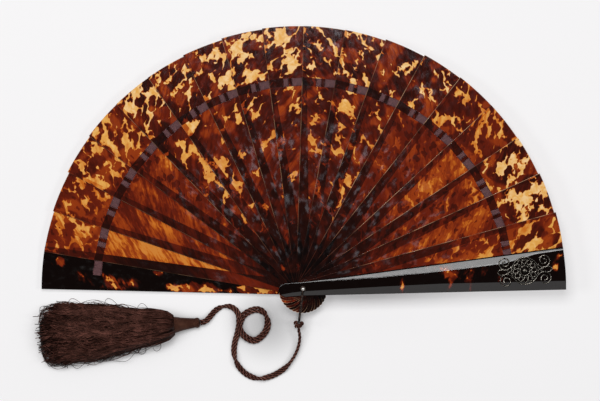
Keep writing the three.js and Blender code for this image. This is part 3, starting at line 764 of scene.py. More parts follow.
# The stick's own shell: how cloudy it is, its depth by the rivet and in dark places, and the painted
# highlight on its rim, broken up by noise.
CLOUDED_SHARE, CLOUDED_DEPTH = (0.0, 0.24), 1.2
RIVET_DEPTH = 0.2
DARK_LIGHT, DARK_DEPTH = (-0.6, -1.4), 1.6
HIGHLIGHT_BREAKS_PER_METRE, HIGHLIGHT_SHOWN, HIGHLIGHT_SHARE = 70.0, (0.42, 0.6), (0.1, 0.5)
HIGHLIGHT_BY_RIVET, HIGHLIGHT_ON_TAIL = 0.3, 1.3
STICK_WAVE = (0.3, 0.06)


def next_blade_group():
    """A place as the blade that lies count layers behind it has it, and whether that blade is there.

    Turn is the step to the next blade, positive on the upper face and negative on the lower one.
    """
    inputs = {"Place": "Vector", "Turn": "Float", "Count": "Float"}
    tree, given, result = new_group("next_blade", inputs, {"Place": "Vector", "There": "Float"})
    back = times(tree, times(tree, given["Turn"], given["Count"]), -1.0)
    turned_sockets = {"Vector": given["Place"], "Angle": back}
    turned_place = node(tree, "VectorRotate", turned_sockets, rotation_type="Z_AXIS").outputs[0]
    side = times(tree, number(tree, "SIGN", given["Turn"]), given["Count"])
    plate = node(tree, "CombineXYZ", {"Z": times(tree, side, PLATE_STEP)}).outputs[0]
    shifted = node(tree, "VectorMath", {0: turned_place, 1: plate}, operation="SUBTRACT").outputs[0]
    axes = axes_of(tree, shifted)
    widening = (STICK_HALF_AT_TIP - STICK_HALF_AT_RIVET) / BLADE_REACH
    half = plus(tree, times(tree, axes["X"], widening), STICK_HALF_AT_RIVET)
    inside = minus(tree, half, number(tree, "ABSOLUTE", axes["Y"]))
    covered = between(tree, inside, 0.0, BLADE_EDGE_SOFTNESS)
    above_first = number(tree, "GREATER_THAN", axes["Z"], -0.5 * PLATE_STEP)
    below_last = number(tree, "LESS_THAN", axes["Z"], (STICK_COUNT + 1.5) * PLATE_STEP)
    real = times(tree, above_first, below_last)
    tree.links.new(shifted, result["Place"])
    tree.links.new(times(tree, covered, real), result["There"])
    return tree


next_blade = next_blade_group()


def depth_behind(tree, place, turn, light, flame, count):
    """The pigment of the blade that lies count layers behind, and a guard's where that blade is one."""
    found = node(tree, "Group", {"Place": place, "Turn": turn, "Count": count}, node_tree=next_blade)
    axes = axes_of(tree, found.outputs["Place"])
    dark_guard = between(tree, axes["X"], *GUARD_DARKENS, *GUARD_DEPTH)
    guard = between(tree, axes["Z"], 0.5 * PLATE_STEP, 0.4 * PLATE_STEP, BEHIND_DEPTH, dark_guard)
    own = times(tree, pigment(tree, found.outputs["Place"], light, flame), BEHIND_SHARE)
    return times(tree, plus(tree, own, guard), found.outputs["There"])


def ribbon_behind(tree, place, turn):
    """1 where the stick's own ribbon runs behind the face: next to one edge, and between two slits."""
    axes = axes_of(tree, place)
    off_middle = number(tree, "ABSOLUTE", minus(tree, axes["X"], RIBBON_RADIUS))
    in_band = number(tree, "LESS_THAN", off_middle, RIBBON_WIDTH / 2)
    across = times(tree, axes["Y"], number(tree, "SIGN", turn))
    first_run = number(tree, "GREATER_THAN", across, SLITS_ACROSS[0])
    past_middle = number(tree, "LESS_THAN", across, SLITS_ACROSS[1])
    before_third = number(tree, "GREATER_THAN", across, SLITS_ACROSS[2])
    second_run = times(tree, past_middle, before_third)
    return times(tree, in_band, plus(tree, first_run, second_run))


def shell_depth(tree, place, turn, light, flame):
    """The pigment in a stick and in what lies behind it, which adds up as in coloured glass."""
    along = axes_of(tree, place)["X"]
    blotched = minus(tree, 1.0, flame)
    clouded = times(tree, blotched, between(tree, along, *CLOUDED_INSIDE, *CLOUDED_SHARE))
    depth = mixed(tree, clouded, pigment(tree, place, light, flame), CLOUDED_DEPTH)
    showing = between(tree, along, *SHOWING_INSIDE, *SHOWING_SHARE)
    showing = times(tree, showing, between(tree, along, *TAIL, 1.0, TAIL_SHOWING))
    for count in (1.0, 2.0):
        behind = depth_behind(tree, place, turn, light, flame, count)
        depth = plus(tree, depth, times(tree, behind, showing))
    ribbon = times(tree, ribbon_behind(tree, place, turn), RIBBON_DEPTH)
    by_rivet = between(tree, along, *BY_RIVET, 0.0, RIVET_DEPTH)
    by_rivet = times(tree, by_rivet, between(tree, along, *BARE_TAIL, 1.0, 0.0))
    dark = between(tree, light, *DARK_LIGHT, 0.0, DARK_DEPTH)
    for more in (ribbon, by_rivet, dark):
        depth = plus(tree, depth, more)
    return depth


def painted_rim_highlight(tree, place):
    """The painted highlight on a stick's edge: patchy, weaker by the rivet and stronger on the tail."""
    along = axes_of(tree, place)["X"]
    wear_and_highlight = between(tree, noise(tree, place, HIGHLIGHT_BREAKS_PER_METRE, 1.0), *HIGHLIGHT_SHOWN, *HIGHLIGHT_SHARE)
    past_rivet = times(tree, wear_and_highlight, between(tree, along, *BY_RIVET, 1.0, HIGHLIGHT_BY_RIVET))
    on_tail = times(tree, wear_and_highlight, between(tree, along, *TAIL, 0.0, HIGHLIGHT_ON_TAIL))
    return times(tree, attribute(tree, "rim"), plus(tree, past_rivet, on_tail))


def shell_material():
    """Clear shell, coloured by the pigment in and behind it, with a painted highlight on its cut edges."""
    material, tree, shader = new_material("shell", IOR=1.47, Specular_Tint=linear("eef1fb"))
    place = attribute(tree, "blade_place", "Vector")
    along = axes_of(tree, place)["X"]
    turn, light, flame = (attribute(tree, name) for name in ("next_turn", "light", "flamed"))
    # The rim colour is a painted highlight on the cut edges, paler away from the rivet.
    off_rivet = number(tree, "MAXIMUM", between(tree, along, *HIGHLIGHT_PALES), between(tree, along, *TAIL))
    rim_highlight_colour = colour_mix(tree, off_rivet, linear("8c4a34"), linear("dcae86"))
    plain = shell_colour(tree, shell_depth(tree, place, turn, light, flame))
    colour = colour_mix(tree, painted_rim_highlight(tree, place), plain, rim_highlight_colour)
    tree.links.new(colour, shader.inputs["Base Color"])
    waves = between(tree, along, *WAVES_CALM, *STICK_WAVE)
    polished(tree, shader, place, waves, attribute(tree, "dulled"))
    return material


shell = shell_material()
stick_half = blade_half(STICK_HALF_AT_RIVET, STICK_HALF_AT_TIP)
stick_x, stick_y = blade_plan(stick_half, stick_columns(stick_half), STICK_TAIL_ROUND)
stick_low = np.stack([stick_x, stick_y, 0 * stick_x], axis=-1)
stick_high = stick_low + (0, 0, STICK_THICKNESS)
stick_cells = solid_cells(stick_x, stick_y, SLITS_ACROSS)
stick_points, stick_faces, stick_used = closed_plate(stick_high, stick_low, stick_cells)


def ease(value, start, end):
    """A smooth step from 0 at start to 1 at end."""
    share = np.clip((value - start) / (end - start), 0, 1)
    return share * share * (3 - 2 * share)


def stick_attributes(stick):
    """A stick's place in its shell, its light, flamed, dulled and rim parts, and the next blade's step.

    Each part is a sum of smooth steps along the stick and of clouds in it.
    """
    past_ribbon = ease(stick_x, *PAST_RIBBON)
    inside = 1 - past_ribbon
    inner = FLAMED.get(stick, BLOTCHED_FLAMED)
    outer = FLAMED_PAST_RIBBON.get(stick, BLOTCHED_FLAMED_PAST_RIBBON)
    light = ALL_LIGHTER_OUTWARDS * ease(stick_x, *OUTWARDS)
    light += (ALL_LIGHTER_PAST_RIBBON + LIGHTER_PAST_RIBBON.get(stick, 0.0)) * past_ribbon
    light += LIGHTER_INSIDE.get(stick, 0.0) * inside
    light -= inner * (FLAMES_DARKEN + DARKENING.get(stick, 1.0) * ease(stick_x, *DARKENED)) * inside
    light += clouds(stick_x, stick_y, STICK_CLOUDS[stick])
    light += TAIL_LIGHT.get(stick, DARK_TAIL_LIGHT) * ease(stick_x, *TAIL)
    # The painted edge highlight: on both long sides by stick, on the tail end and on the tip.
    rim = np.zeros_like(stick_x)
    rim[:, [0, -1]] = np.interp(stick, *SIDE_HIGHLIGHTS)
    rim[[0, -1]] = 1
    rim *= np.where(stick_x < 0, np.interp(stick, *TAIL_HIGHLIGHTS), 1.0)
    dulled = ease(stick_x, *DULLED_FROM) * (1 - ease(stick_x, *DULLED_TO))
    dulled = dulled * np.interp(stick, *DULLED_STICKS)
    dulled += clouds(stick_x, stick_y, DULLED_TIPS.get(stick, []))
    flamed = inner + (outer - inner) * past_ribbon
    made = plate_attributes(stick_x, stick_y, stick, light, stick_used)
    for name, values in (("dulled", dulled), ("flamed", flamed), ("rim", rim)):
        made[name] = np.tile(values.ravel(), 2)[stick_used]
    below = FIRST_STEP if stick == 1 else STICK_STEP
    above = LAST_STEP if stick == STICK_COUNT else STICK_STEP
    made["next_turn"] = np.repeat(np.radians([below, -above]), stick_x.size)[stick_used]
    return made


def stick_plate(stick):
    """A stick's points, with its tip cut a little longer or shorter than the next one's, and askew."""
    x, y, z = stick_points.T
    cut = TIP_SPREAD * np.sin(TIP_CHANGE * stick) + TIP_SLANT * y
    return np.stack([x + cut * ease(x, TIP_CUT_FROM, BLADE_REACH), y, z], axis=1)


def stick_place(stick):
    """The angle and the height that a stick lies at."""
    angle = BACK_GUARD_ANGLE - FIRST_STEP - (stick - 1) * STICK_STEP
    return angle, FIRST_STICK_Z + (stick - 1) * LAYER_PITCH


for stick in range(1, STICK_COUNT + 1):
    piece = add_piece(
        f"stick_{stick:02d}_plate",
        turn_about_rivet(stick_plate(stick), *stick_place(stick)),
        stick_faces,
        shell,
        f"stick_{stick:02d}",
        [f"stick_{stick:02d}"],
        stick_attributes(stick),
        smooth=False,
    )
    round_edges(piece)

# Ribbon: one strip of purple-brown silk with fine ribs across it, laced out and in through the three
# slits of each stick and glued to both guards. It is cut at each stick's edge, so that the fan closes.
RIBBON_THICKNESS = 0.0001
RIBBON_STEP = 0.0002
RIBBON_COLUMNS = 7
RIBBON_OFFSET = 0.00011
RIBBON_SLANT = 0.0004
RIBBON_END_INSET = 0.002
RIBBON_GLUED_PAST_AXIS = 0.0017
GLUED_OFFSET = 0.00006
FOLD_OFFSET = 0.000165
FOLD_REACH = (0.0012, -0.0052)
FOLD_SHIFT = 0.0006
# The ribs' pitch, their bump's height and the painted shade in their valleys.
RIBBON_RIB, RIB_HEIGHT, RIB_SHADE = 0.00055, 0.00004, 0.12
RIBBON_THREADS_PER_METRE, RIBBON_THREAD_STRETCH = 1800.0, (1.0, 0.12, 1.0)
RIBBON_TONES = [(0.2, "2c1719"), (0.5, "573538"), (0.85, "7a5052")]
RIBBON_ROUGHNESS = (0.45, 0.65)


def ribbon_material():
    """Ribbed silk: a sine of fine ribs across the strip, and threads of uneven tone along it."""
    material, tree, shader = new_material("ribbon_silk", Specular_IOR_Level=0.25, Sheen_Weight=0.05)
    place = attribute(tree, "ribbon_place", "Vector")
    along = axes_of(tree, place)["X"]
    ribs = number(tree, "SINE", times(tree, along, 2 * np.pi / RIBBON_RIB))
    thread_place = node(tree, "Mapping", {"Vector": place, "Scale": RIBBON_THREAD_STRETCH}).outputs[0]
    threads = noise(tree, thread_place, RIBBON_THREADS_PER_METRE, 2.0)
    # The ribs' valleys are painted darker, as shade.
    tone = plus(tree, times(tree, ribs, RIB_SHADE), threads)
    tree.links.new(colour_ramp(tree, tone, RIBBON_TONES), shader.inputs["Base Color"])
    tree.links.new(between(tree, threads, *CLOUDY, *RIBBON_ROUGHNESS), shader.inputs["Roughness"])
    tree.links.new(bump(tree, ribs, RIB_HEIGHT), shader.inputs["Normal"])
    return material


ribbon_silk = ribbon_material()


def run_along(line):
    """How far each point of a line is from its start, along the line."""
    return np.concatenate([[0], np.cumsum(np.linalg.norm(np.diff(line, axis=0), axis=1))])


def along_line(line, spacing):
    """Points every spacing along a line of points, both ends kept, and how far along each is."""
    line = np.asarray(line, float)
    run = run_along(line)
    at = np.linspace(0, run[-1], int(np.ceil(run[-1] / spacing)) + 1)
    return np.stack([np.interp(at, run, line[:, axis]) for axis in range(line.shape[1])], axis=1), at


def ribbon_strip(line):
    """A strip of ribbon across a blade along a line of (across, height) points, its bends eased.

    Its points, its faces and each point's place in the ribbon, along and across.
    """
    line, run = along_line(line, RIBBON_STEP)
    line[1:-1] = (line[:-2] + 2 * line[1:-1] + line[2:]) / 4
    heading = np.gradient(line, axis=0)
    heading /= np.linalg.norm(heading, axis=1)[:, None]
    face = np.stack([heading[:, 1], -heading[:, 0]], axis=1) * RIBBON_THICKNESS / 2
    wide = np.linspace(-0.5, 0.5, RIBBON_COLUMNS) * RIBBON_WIDTH
    sheets = []
    for side in (face, -face):
        across, height = (line + side).T[:, :, None]
        sheets.append(np.stack(np.broadcast_arrays(RIBBON_RADIUS + wide, across, height), axis=-1))
    kept = np.ones((len(line) - 1, len(wide) - 1), bool)
    points, faces, used = closed_plate(*sheets, kept)
    place = np.stack(np.broadcast_arrays(run[:, None], wide, 0.0), axis=-1).reshape(-1, 3)
    return points, faces, np.tile(place, (2, 1))[used]


def laced_line():
    """Behind the stick, out through the first slit, in through the second, out again by the third."""
    end = STICK_HALF_AT_RIVET + (STICK_HALF_AT_TIP - STICK_HALF_AT_RIVET) * RIBBON_RADIUS / BLADE_REACH
    end -= RIBBON_END_INSET
    behind, front = -RIBBON_OFFSET, STICK_THICKNESS + RIBBON_OFFSET
    first, second, third = SLITS_ACROSS
    half = RIBBON_SLANT / 2
    return [
        (end, behind), (first + half, behind), (first - half, front), (second + half, front),
        (second - half, behind), (third + half, behind), (third - half, front), (-end, front),
    ]


guard_end = np.interp(RIBBON_RADIUS, stations(), guard_half) - RIBBON_END_INSET
glued_height = GUARD_THICKNESS + GLUED_OFFSET
back_end = [(RIBBON_GLUED_PAST_AXIS, glued_height), (-guard_end, glued_height)]
front_end = [(guard_end, -RIBBON_OFFSET), (-RIBBON_GLUED_PAST_AXIS, -RIBBON_OFFSET)]
fold_height = GUARD_THICKNESS + FOLD_OFFSET
back_fold = [(RIBBON_GLUED_PAST_AXIS + reach, fold_height) for reach in FOLD_REACH]
FRONT_GUARD_ANGLE = BACK_GUARD_ANGLE - FIRST_STEP - (STICK_COUNT - 1) * STICK_STEP - LAST_STEP
FRONT_GUARD_Z = FIRST_STICK_Z + STICK_COUNT * LAYER_PITCH
ribbons = [("ribbon_back_end", "back_guard", back_end, BACK_GUARD_ANGLE, BACK_GUARD_Z)]
ribbons += [
    (f"ribbon_{stick:02d}", f"stick_{stick:02d}", laced_line(), *stick_place(stick))
    for stick in range(1, STICK_COUNT + 1)
]
ribbons += [("ribbon_front_end", "front_guard", front_end, FRONT_GUARD_ANGLE, FRONT_GUARD_Z)]
for name, body, line, angle, lift in ribbons:
    points, faces, place = ribbon_strip(line)
    points = turn_about_rivet(points, angle, lift)
    add_piece(f"{name}_silk", points, faces, ribbon_silk, body, [name], {"ribbon_place": place})
points, faces, place = ribbon_strip(back_fold)
points = turn_about_rivet(points + (FOLD_SHIFT, 0, 0), BACK_GUARD_ANGLE, BACK_GUARD_Z)
add_piece(
    "ribbon_back_fold",
    points,
    faces,
    ribbon_silk,
    "back_guard",
    attributes={"ribbon_place": place},
)

# Front guard: the top blade, thick dark shell with a long bevel along both edges of its outer face,
# polished like glass. The bevels widen from the tail on, and the upper one narrows again by the tip.
BEVEL_SLOPE = 0.106
CREASE_SLOPE = 0.09
CREASE_WIDTH = 0.0009
CREASE_SHARE = 0.25
ARRIS_SLOPE = 0.5
UPPER_ARRIS = 0.0011
LOWER_ARRIS = 0.0003
ARRIS_SHARE = 0.4
FLAT_SHARES = (0.35, 0.7, 1.0)
# Each bevel's width along the guard, as (along, width).
UPPER_BEVEL = [
    (-0.0225, 0.0004), (-0.010, 0.0005), (0.008, 0.0010), (0.050, 0.0040), (0.070, 0.0054),
    (0.135, 0.0075), (0.185, 0.0077), (0.215, 0.0029), (0.240, 0.0026),
]
LOWER_BEVEL = [(-0.0225, 0.0024), (-0.010, 0.0036), (0.070, 0.0065), (0.125, 0.008), (0.240, 0.008)]
TAIL_END_SLOPE = 0.2
FRONT_GUARD_CLOUDS = [
    (0.089, -0.003, 0.003, 0.010, 1.6),
    (0.110, -0.007, 0.004, 0.005, 1.2),
    (0.118, 0.008, 0.007, 0.005, 1.0),
    (0.135, 0.003, 0.008, 0.009, 1.9),
    (0.150, -0.004, 0.005, 0.012, 1.5),
    (0.168, 0.003, 0.010, 0.008, 0.7),
    (0.180, -0.004, 0.007, 0.008, 0.7),
    (0.232, 0.001, 0.0035, 0.005, 1.9),
    (0.237, 0.012, 0.003, 0.004, 1.8),
]


def bevel_width(places):
    """A bevel's width at each station, in straight lines between its (along, width) places."""
    return np.interp(stations(), *np.transpose(places))


def bevelled_columns(half, width, arris):
    """Places across one half of the front guard: by the hole, out to the bevel, over it, and its edge."""
    crease = half - width
    fixed = [HOLE_FLAT, HOLE_RADIUS]
    columns = [np.full_like(half, place) for place in fixed]
    columns += [HOLE_RADIUS + (crease - HOLE_RADIUS) * share for share in FLAT_SHARES]
    rounded = np.minimum(CREASE_WIDTH, CREASE_SHARE * width)
    return [*columns, crease + rounded, half - arris, half]


def bevel_drop(into, width, arris):
    """How far a bevel has fallen at a place into it: gently past the crease, evenly, then by the arris."""
    into = np.clip(into, 0, width)
    rounded = np.minimum(CREASE_WIDTH, CREASE_SHARE * width)
    gentle = CREASE_SLOPE * np.minimum(into, rounded)
    even = BEVEL_SLOPE * np.clip(into - rounded, 0, width - arris - rounded)
    return gentle + even + ARRIS_SLOPE * np.clip(into - (width - arris), 0, None)


def tail_facing(across):
    """How squarely the tail's half ellipse faces along the blade there: the X part of its normal."""
    side = np.clip(across / GUARD_HALF_AT_RIVET, -1, 1)
    along_part = np.sqrt(1 - side**2) / GUARD_TAIL_ROUND
    return along_part / np.hypot(along_part, side / GUARD_HALF_AT_RIVET)


upper_width = bevel_width(UPPER_BEVEL)
lower_width = bevel_width(LOWER_BEVEL)
upper_arris = np.minimum(UPPER_ARRIS, ARRIS_SHARE * upper_width)
lower_arris = np.minimum(LOWER_ARRIS, ARRIS_SHARE * lower_width)
upper_columns = bevelled_columns(guard_half, upper_width, upper_arris)
lower_columns = bevelled_columns(guard_half, lower_width, lower_arris)
front_x, front_y = blade_plan(guard_half, upper_columns, GUARD_TAIL_ROUND, lower_columns)
widths = np.where(front_y > 0, upper_width[:, None], lower_width[:, None])
arrises = np.where(front_y > 0, upper_arris[:, None], lower_arris[:, None])
into_bevel = np.abs(front_y) - (guard_half[:, None] - widths)
front_low = np.stack([front_x, front_y, 0 * front_x], axis=-1)
front_high = front_low + (0, 0, GUARD_THICKNESS)
front_high[..., 2] -= bevel_drop(into_bevel, widths, arrises)
front_high[0, :, 2] -= TAIL_END_SLOPE * RIM_WIDTH * tail_facing(front_y[0])
points, faces, used = closed_plate(front_high, front_low, solid_cells(front_x, front_y, []))
front_light = clouds(front_x, front_y, FRONT_GUARD_CLOUDS)
front_guard = add_piece(
    "front_guard_plate",
    turn_about_rivet(points, FRONT_GUARD_ANGLE, FRONT_GUARD_Z),
    faces,
    dark_shell,
    "front_guard",
    ["front_guard"],
    plate_attributes(front_x, -front_y, STICK_COUNT + 1, front_light, used),
    smooth=False,
)
round_edges(front_guard)

# Ornament: a rosette of interlaced oxidised silver wires with four volutes and a drop at each end,
# soldered where the wires cross, with a domed boss in the middle, glued flat on the front guard.
ORNAMENT_ALONG = 0.203
ORNAMENT_ACROSS = 0.0006
ORNAMENT_WIRE = 0.0013
LACE_RADIUS = 0.0082
LACE_SWELL = 0.0026
LACE_LOOPS = 6
LACE_RISE = 0.0005
RING_RADII = (0.0044, 0.0122)
VOLUTE_CENTRE = (0.0178, 0.0082)
VOLUTE_RADIUS = 0.0066
VOLUTE_EYE_RADIUS = 0.0012
VOLUTE_TURNS = 1.75
VOLUTE_RISE, VOLUTE_WAVES = 0.0003, 5
DROP_START, DROP_LENGTH, DROP_HALF_WIDTH = 0.0128, 0.0118, 0.0024
DROP_RISE = 0.0004
BOSS_RADIUS, BOSS_HEIGHT, BOSS_SIDES = 0.0027, 0.0017, 32
BEAD_COUNT, BEAD_RADIUS, BEAD_SIDES = 12, 0.00075, 10
DOME_RINGS, DOME_TO = 6, 0.47
ROSETTE_POINTS, VOLUTE_POINTS = 181, 110
WIRE_SIDES = 10

oxidised_silver = metal_material("oxidised_silver", "7f7a72", "1b1815", 1300.0, -0.08)


def swept(path, radius, sides, up=(0, 0, 1)):
    """Rings of points about each point of one or more paths, square to the path's own heading.

    A ring starts along the direction that is square to both the heading and up.
    """
    heading = np.gradient(path, axis=-2)
    across = np.cross(up, heading)
    across /= np.linalg.norm(across, axis=-1, keepdims=True)
    over = np.cross(heading, across)
    over /= np.linalg.norm(over, axis=-1, keepdims=True)
    angle = np.linspace(0, 2 * np.pi, sides, endpoint=False)[:, None]
    ring = np.cos(angle) * across[..., None, :] + np.sin(angle) * over[..., None, :]
    radius = np.broadcast_to(radius, path.shape[:-1])[..., None, None]
    return path[..., None, :] + radius * ring


def polar(radius, angle, centre=(0.0, 0.0)):
    """Points in the plane at that radius and angle about a centre."""
    return np.stack([centre[0] + radius * np.cos(angle), centre[1] + radius * np.sin(angle)], axis=-1)


def ornament_wires():
    """Lines of the laced rosette, its two rings, the four volutes and the two drops, and their rise.

    The two laced wires swell in and out in turn and pass over and under each other.
    """
    angle = np.linspace(0, 2 * np.pi, ROSETTE_POINTS)
    wires = []
    for side in (1, -1):
        lace = LACE_RADIUS + side * LACE_SWELL * np.cos(LACE_LOOPS * angle)
        wires.append((polar(lace, angle), side * LACE_RISE * np.sin(LACE_LOOPS * angle)))
    wires += [(polar(radius, angle), 0 * angle) for radius in RING_RADII]
    share = np.linspace(0, 1, VOLUTE_POINTS)
    half_drop = np.pi * share
    for way in (1, -1):
        for across in (1, -1):
            turn = way * across
            spring = np.arctan2(-across * VOLUTE_CENTRE[1], -way * VOLUTE_CENTRE[0])
            coil = spring + turn * VOLUTE_TURNS * 2 * np.pi * share
            radius = VOLUTE_RADIUS + (VOLUTE_EYE_RADIUS - VOLUTE_RADIUS) * share
            centre = (way * VOLUTE_CENTRE[0], across * VOLUTE_CENTRE[1])
            raised = VOLUTE_RISE * np.sin(VOLUTE_WAVES * np.pi * share)
            wires.append((polar(radius, coil, centre), raised))
        drop_x = way * (DROP_START + DROP_LENGTH * np.sin(half_drop))
        drop_y = DROP_HALF_WIDTH * np.sin(2 * half_drop)
        wires.append((np.stack([drop_x, drop_y], axis=1), DROP_RISE * np.cos(half_drop)))
    return wires


def domed(radius, height, centre, sides):
    """A low dome about a centre: a quarter of an oval, turned."""
    rise = np.linspace(0, DOME_TO * np.pi, DOME_RINGS)
    points = turned(np.stack([radius * np.cos(rise), height * np.sin(rise)], axis=1), sides)
    return points + (*centre, 0.0), tube_faces(len(rise), sides)


def flat_wire(line, raised):
    """A wire that lies on a plane: a round tube whose underside is pressed flat."""
    height = ORNAMENT_WIRE / 4 + np.maximum(raised, 0)
    path = np.concatenate([line, height[:, None]], axis=1)
    rings = swept(path, ORNAMENT_WIRE / 2, WIRE_SIDES)
    rings[..., 2] = np.maximum(rings[..., 2], 0.0)
    return rings.reshape(-1, 3), tube_faces(len(path), WIRE_SIDES)


def joined(parts):
    """Several sets of points and faces as one."""
    counts = np.cumsum([0] + [len(points) for points, _ in parts])
    faces = [[corner + start for corner in face] for (_, own), start in zip(parts, counts) for face in own]
    return np.concatenate([points for points, _ in parts]), faces


bead_angle = (np.arange(BEAD_COUNT) + 0.5) * 2 * np.pi / BEAD_COUNT
bead_ring = polar((RING_RADII[1] + LACE_RADIUS) / 2, bead_angle)
ornament_parts = [flat_wire(*wire) for wire in ornament_wires()]
ornament_parts += [domed(BOSS_RADIUS, BOSS_HEIGHT, (0.0, 0.0), BOSS_SIDES)]
ornament_parts += [domed(BEAD_RADIUS, BEAD_RADIUS, centre, BEAD_SIDES) for centre in bead_ring]
wire_points, wire_faces = joined(ornament_parts)
wire_points = wire_points + (ORNAMENT_ALONG, ORNAMENT_ACROSS, GUARD_THICKNESS)
add_piece(
    "guard_ornament_wires",
    turn_about_rivet(wire_points, FRONT_GUARD_ANGLE, FRONT_GUARD_Z),
    wire_faces,
    oxidised_silver,
    "front_guard",
    ["guard_ornament"],
)

# Bail: a loop of dark wire round the blades' tails, with an eye at each end that turns on the rivet.
# The cord hangs from its bar.
BAIL_ANGLE = -97.0
BAIL_WIRE = 0.0021
BAIL_REACH = 0.031
BAIL_BEND = 0.004
BACK_LEG_Z = 0.0019
FRONT_LEG_Z = 0.02831
EYE_RADIUS = 0.0029
EYE_THICKNESS = 0.0014
EYE_EDGE = 0.00025
BAIL_SIDES = 14
BAIL_STEP = 0.0006
BEND_POINTS = 12


def bail_line():
    """Along the upper leg, round a bend, down the bar, round a bend and back along the lower leg."""
    leg_start = (HOLE_RADIUS + EYE_RADIUS) / 2
    bend_x = BAIL_REACH - BAIL_BEND
    bend = np.linspace(0, np.pi / 2, BEND_POINTS)
    sine, cosine = np.sin(bend), np.cos(bend)
    upper = np.stack([bend_x + BAIL_BEND * sine, FRONT_LEG_Z - BAIL_BEND * (1 - cosine)], axis=1)
    lower = np.stack([bend_x + BAIL_BEND * cosine, BACK_LEG_Z + BAIL_BEND * (1 - sine)], axis=1)
    corners = np.concatenate([[(leg_start, FRONT_LEG_Z)], upper, lower, [(leg_start, BACK_LEG_Z)]])
    line, _ = along_line(corners, BAIL_STEP)
    return np.stack([line[:, 0], 0 * line[:, 0], line[:, 1]], axis=1)


def bail_eye(height):
    """A flat ring with rounded edges about the rivet."""
    low, high = height - EYE_THICKNESS / 2, height + EYE_THICKNESS / 2
    profile = [
        (HOLE_RADIUS, low + EYE_EDGE), (HOLE_RADIUS + EYE_EDGE, low), (EYE_RADIUS - EYE_EDGE, low),
        (EYE_RADIUS, low + EYE_EDGE), (EYE_RADIUS, high - EYE_EDGE), (EYE_RADIUS - EYE_EDGE, high),
        (HOLE_RADIUS + EYE_EDGE, high), (HOLE_RADIUS, high - EYE_EDGE), (HOLE_RADIUS, low + EYE_EDGE),
    ]
    return turned(profile), tube_faces(len(profile), ROUND_SIDES, caps=False)


bail_path = bail_line()
bail_rings = swept(bail_path, BAIL_WIRE / 2, BAIL_SIDES, up=(0, 1, 0))
bail_parts = [(bail_rings.reshape(-1, 3), tube_faces(len(bail_path), BAIL_SIDES))]
bail_parts += [bail_eye(FRONT_LEG_Z), bail_eye(BACK_LEG_Z)]
bail_points, bail_faces = joined(bail_parts)
bail_points = turn_about_rivet(bail_points, BAIL_ANGLE)
add_piece("bail_wire", bail_points, bail_faces, dark_wire, "bail", ["bail"])

# Rivet's head: a bright silver ball on the end of the pin, closed over the bail's upper eye. It keeps
# the blades and the bail on the rivet.
BALL_RADIUS = 0.0016
BALL_CENTRE_RISE = 0.0006
BALL_RINGS, BALL_TO = 16, 0.48
silver = metal_material("silver", "f6f4f0", "d8d5cf", 700.0, 0.16)
ball_foot = -np.arcsin(BALL_CENTRE_RISE / BALL_RADIUS)
ball_angle = np.linspace(ball_foot, BALL_TO * np.pi, BALL_RINGS)
ball_height = PIN_TOP + BALL_CENTRE_RISE + BALL_RADIUS * np.sin(ball_angle)
ball_profile = np.stack([BALL_RADIUS * np.cos(ball_angle), ball_height], axis=1)
ball_faces = tube_faces(len(ball_profile), ROUND_SIDES)
add_piece("rivet_ball", turned(ball_profile), ball_faces, silver, "back_guard", ["rivet_head"])

# Cord: one plied silk strand, doubled, that runs from its knot on the bail, in a loop over itself, into
# the tassel. The two strands lie side by side on the table and change sides at each half twist.
CORD_ROUTE = [
    (-0.0040, -0.0376, 0.0054),
    (-0.0030, -0.0450, 0.0026),
    (-0.0043, -0.0536, 0.0005),
    (-0.0078, -0.0620, 0),
    (-0.0131, -0.0697, 0),
    (-0.0201, -0.0760, 0),
    (-0.0299, -0.0810, 0),
    (-0.0411, -0.0829, 0),
    (-0.0509, -0.0796, 0),
    (-0.0580, -0.0733, 0),
    (-0.0621, -0.0656, 0),
    (-0.0634, -0.0578, 0),
    (-0.0625, -0.0494, 0),
    (-0.0601, -0.0410, 0),
    (-0.0583, -0.0333, 0),
    (-0.0551, -0.0256, 0),
    (-0.0488, -0.0211, 0),
    (-0.0419, -0.0196, 0),
    (-0.0358, -0.0224, 0),
    (-0.0327, -0.0291, 0),
    (-0.0331, -0.0368, 0),
    (-0.0376, -0.0438, 0),
    (-0.0446, -0.0480, 0.0006),
    (-0.0520, -0.0453, 0.0022),
    (-0.0573, -0.0389, 0.0033),
    (-0.0586, -0.0319, 0.0034),
    (-0.0590, -0.0249, 0.0033),
    (-0.0621, -0.0196, 0.0020),
    (-0.0684, -0.0165, 0.0004),
    (-0.0755, -0.0175, 0),
    (-0.0808, -0.0209, 0.0003),
    (-0.0848, -0.0254, 0.0012),
    (-0.0882, -0.0292, 0.0024),
    (-0.0914, -0.0310, 0.0031),
    (-0.0943, -0.03137, 0.0033),
]
STRAND_CREST = 0.0030
STRAND_SPACING = 0.0026
RING_FROM, RING_TO = 0.118, 0.216
RING_SLACK = 0.00025
RING_CREST = 0.0034
HALF_TWIST_LENGTH = 0.022
HALF_TWISTS_AT = [0.066, 0.096, 0.163, 0.240]
STACKED_TO = 0.048
STACKING_LENGTH = 0.016
STRAND_SIDES = 21
CURVE_STEPS = 24
STRAND_RING = 0.00035
STRAND_PLIES = 3
PLY_PITCH = 0.0118
PLY_RELIEF = 0.28
# How far the painted shade spreads out of the grooves between plies.
GROOVE_POWER = 0.7
FIBRES_PER_METRE, FIBRE_SHARE = 2600.0, 0.6
DYES_PER_METRE, DYE_SHARE = 130.0, 0.4
LIT_SILK = (0.4, 0.68)
SILK_ROUGHNESS = (0.42, 0.62)
FIBRE_HEIGHT = 0.00006


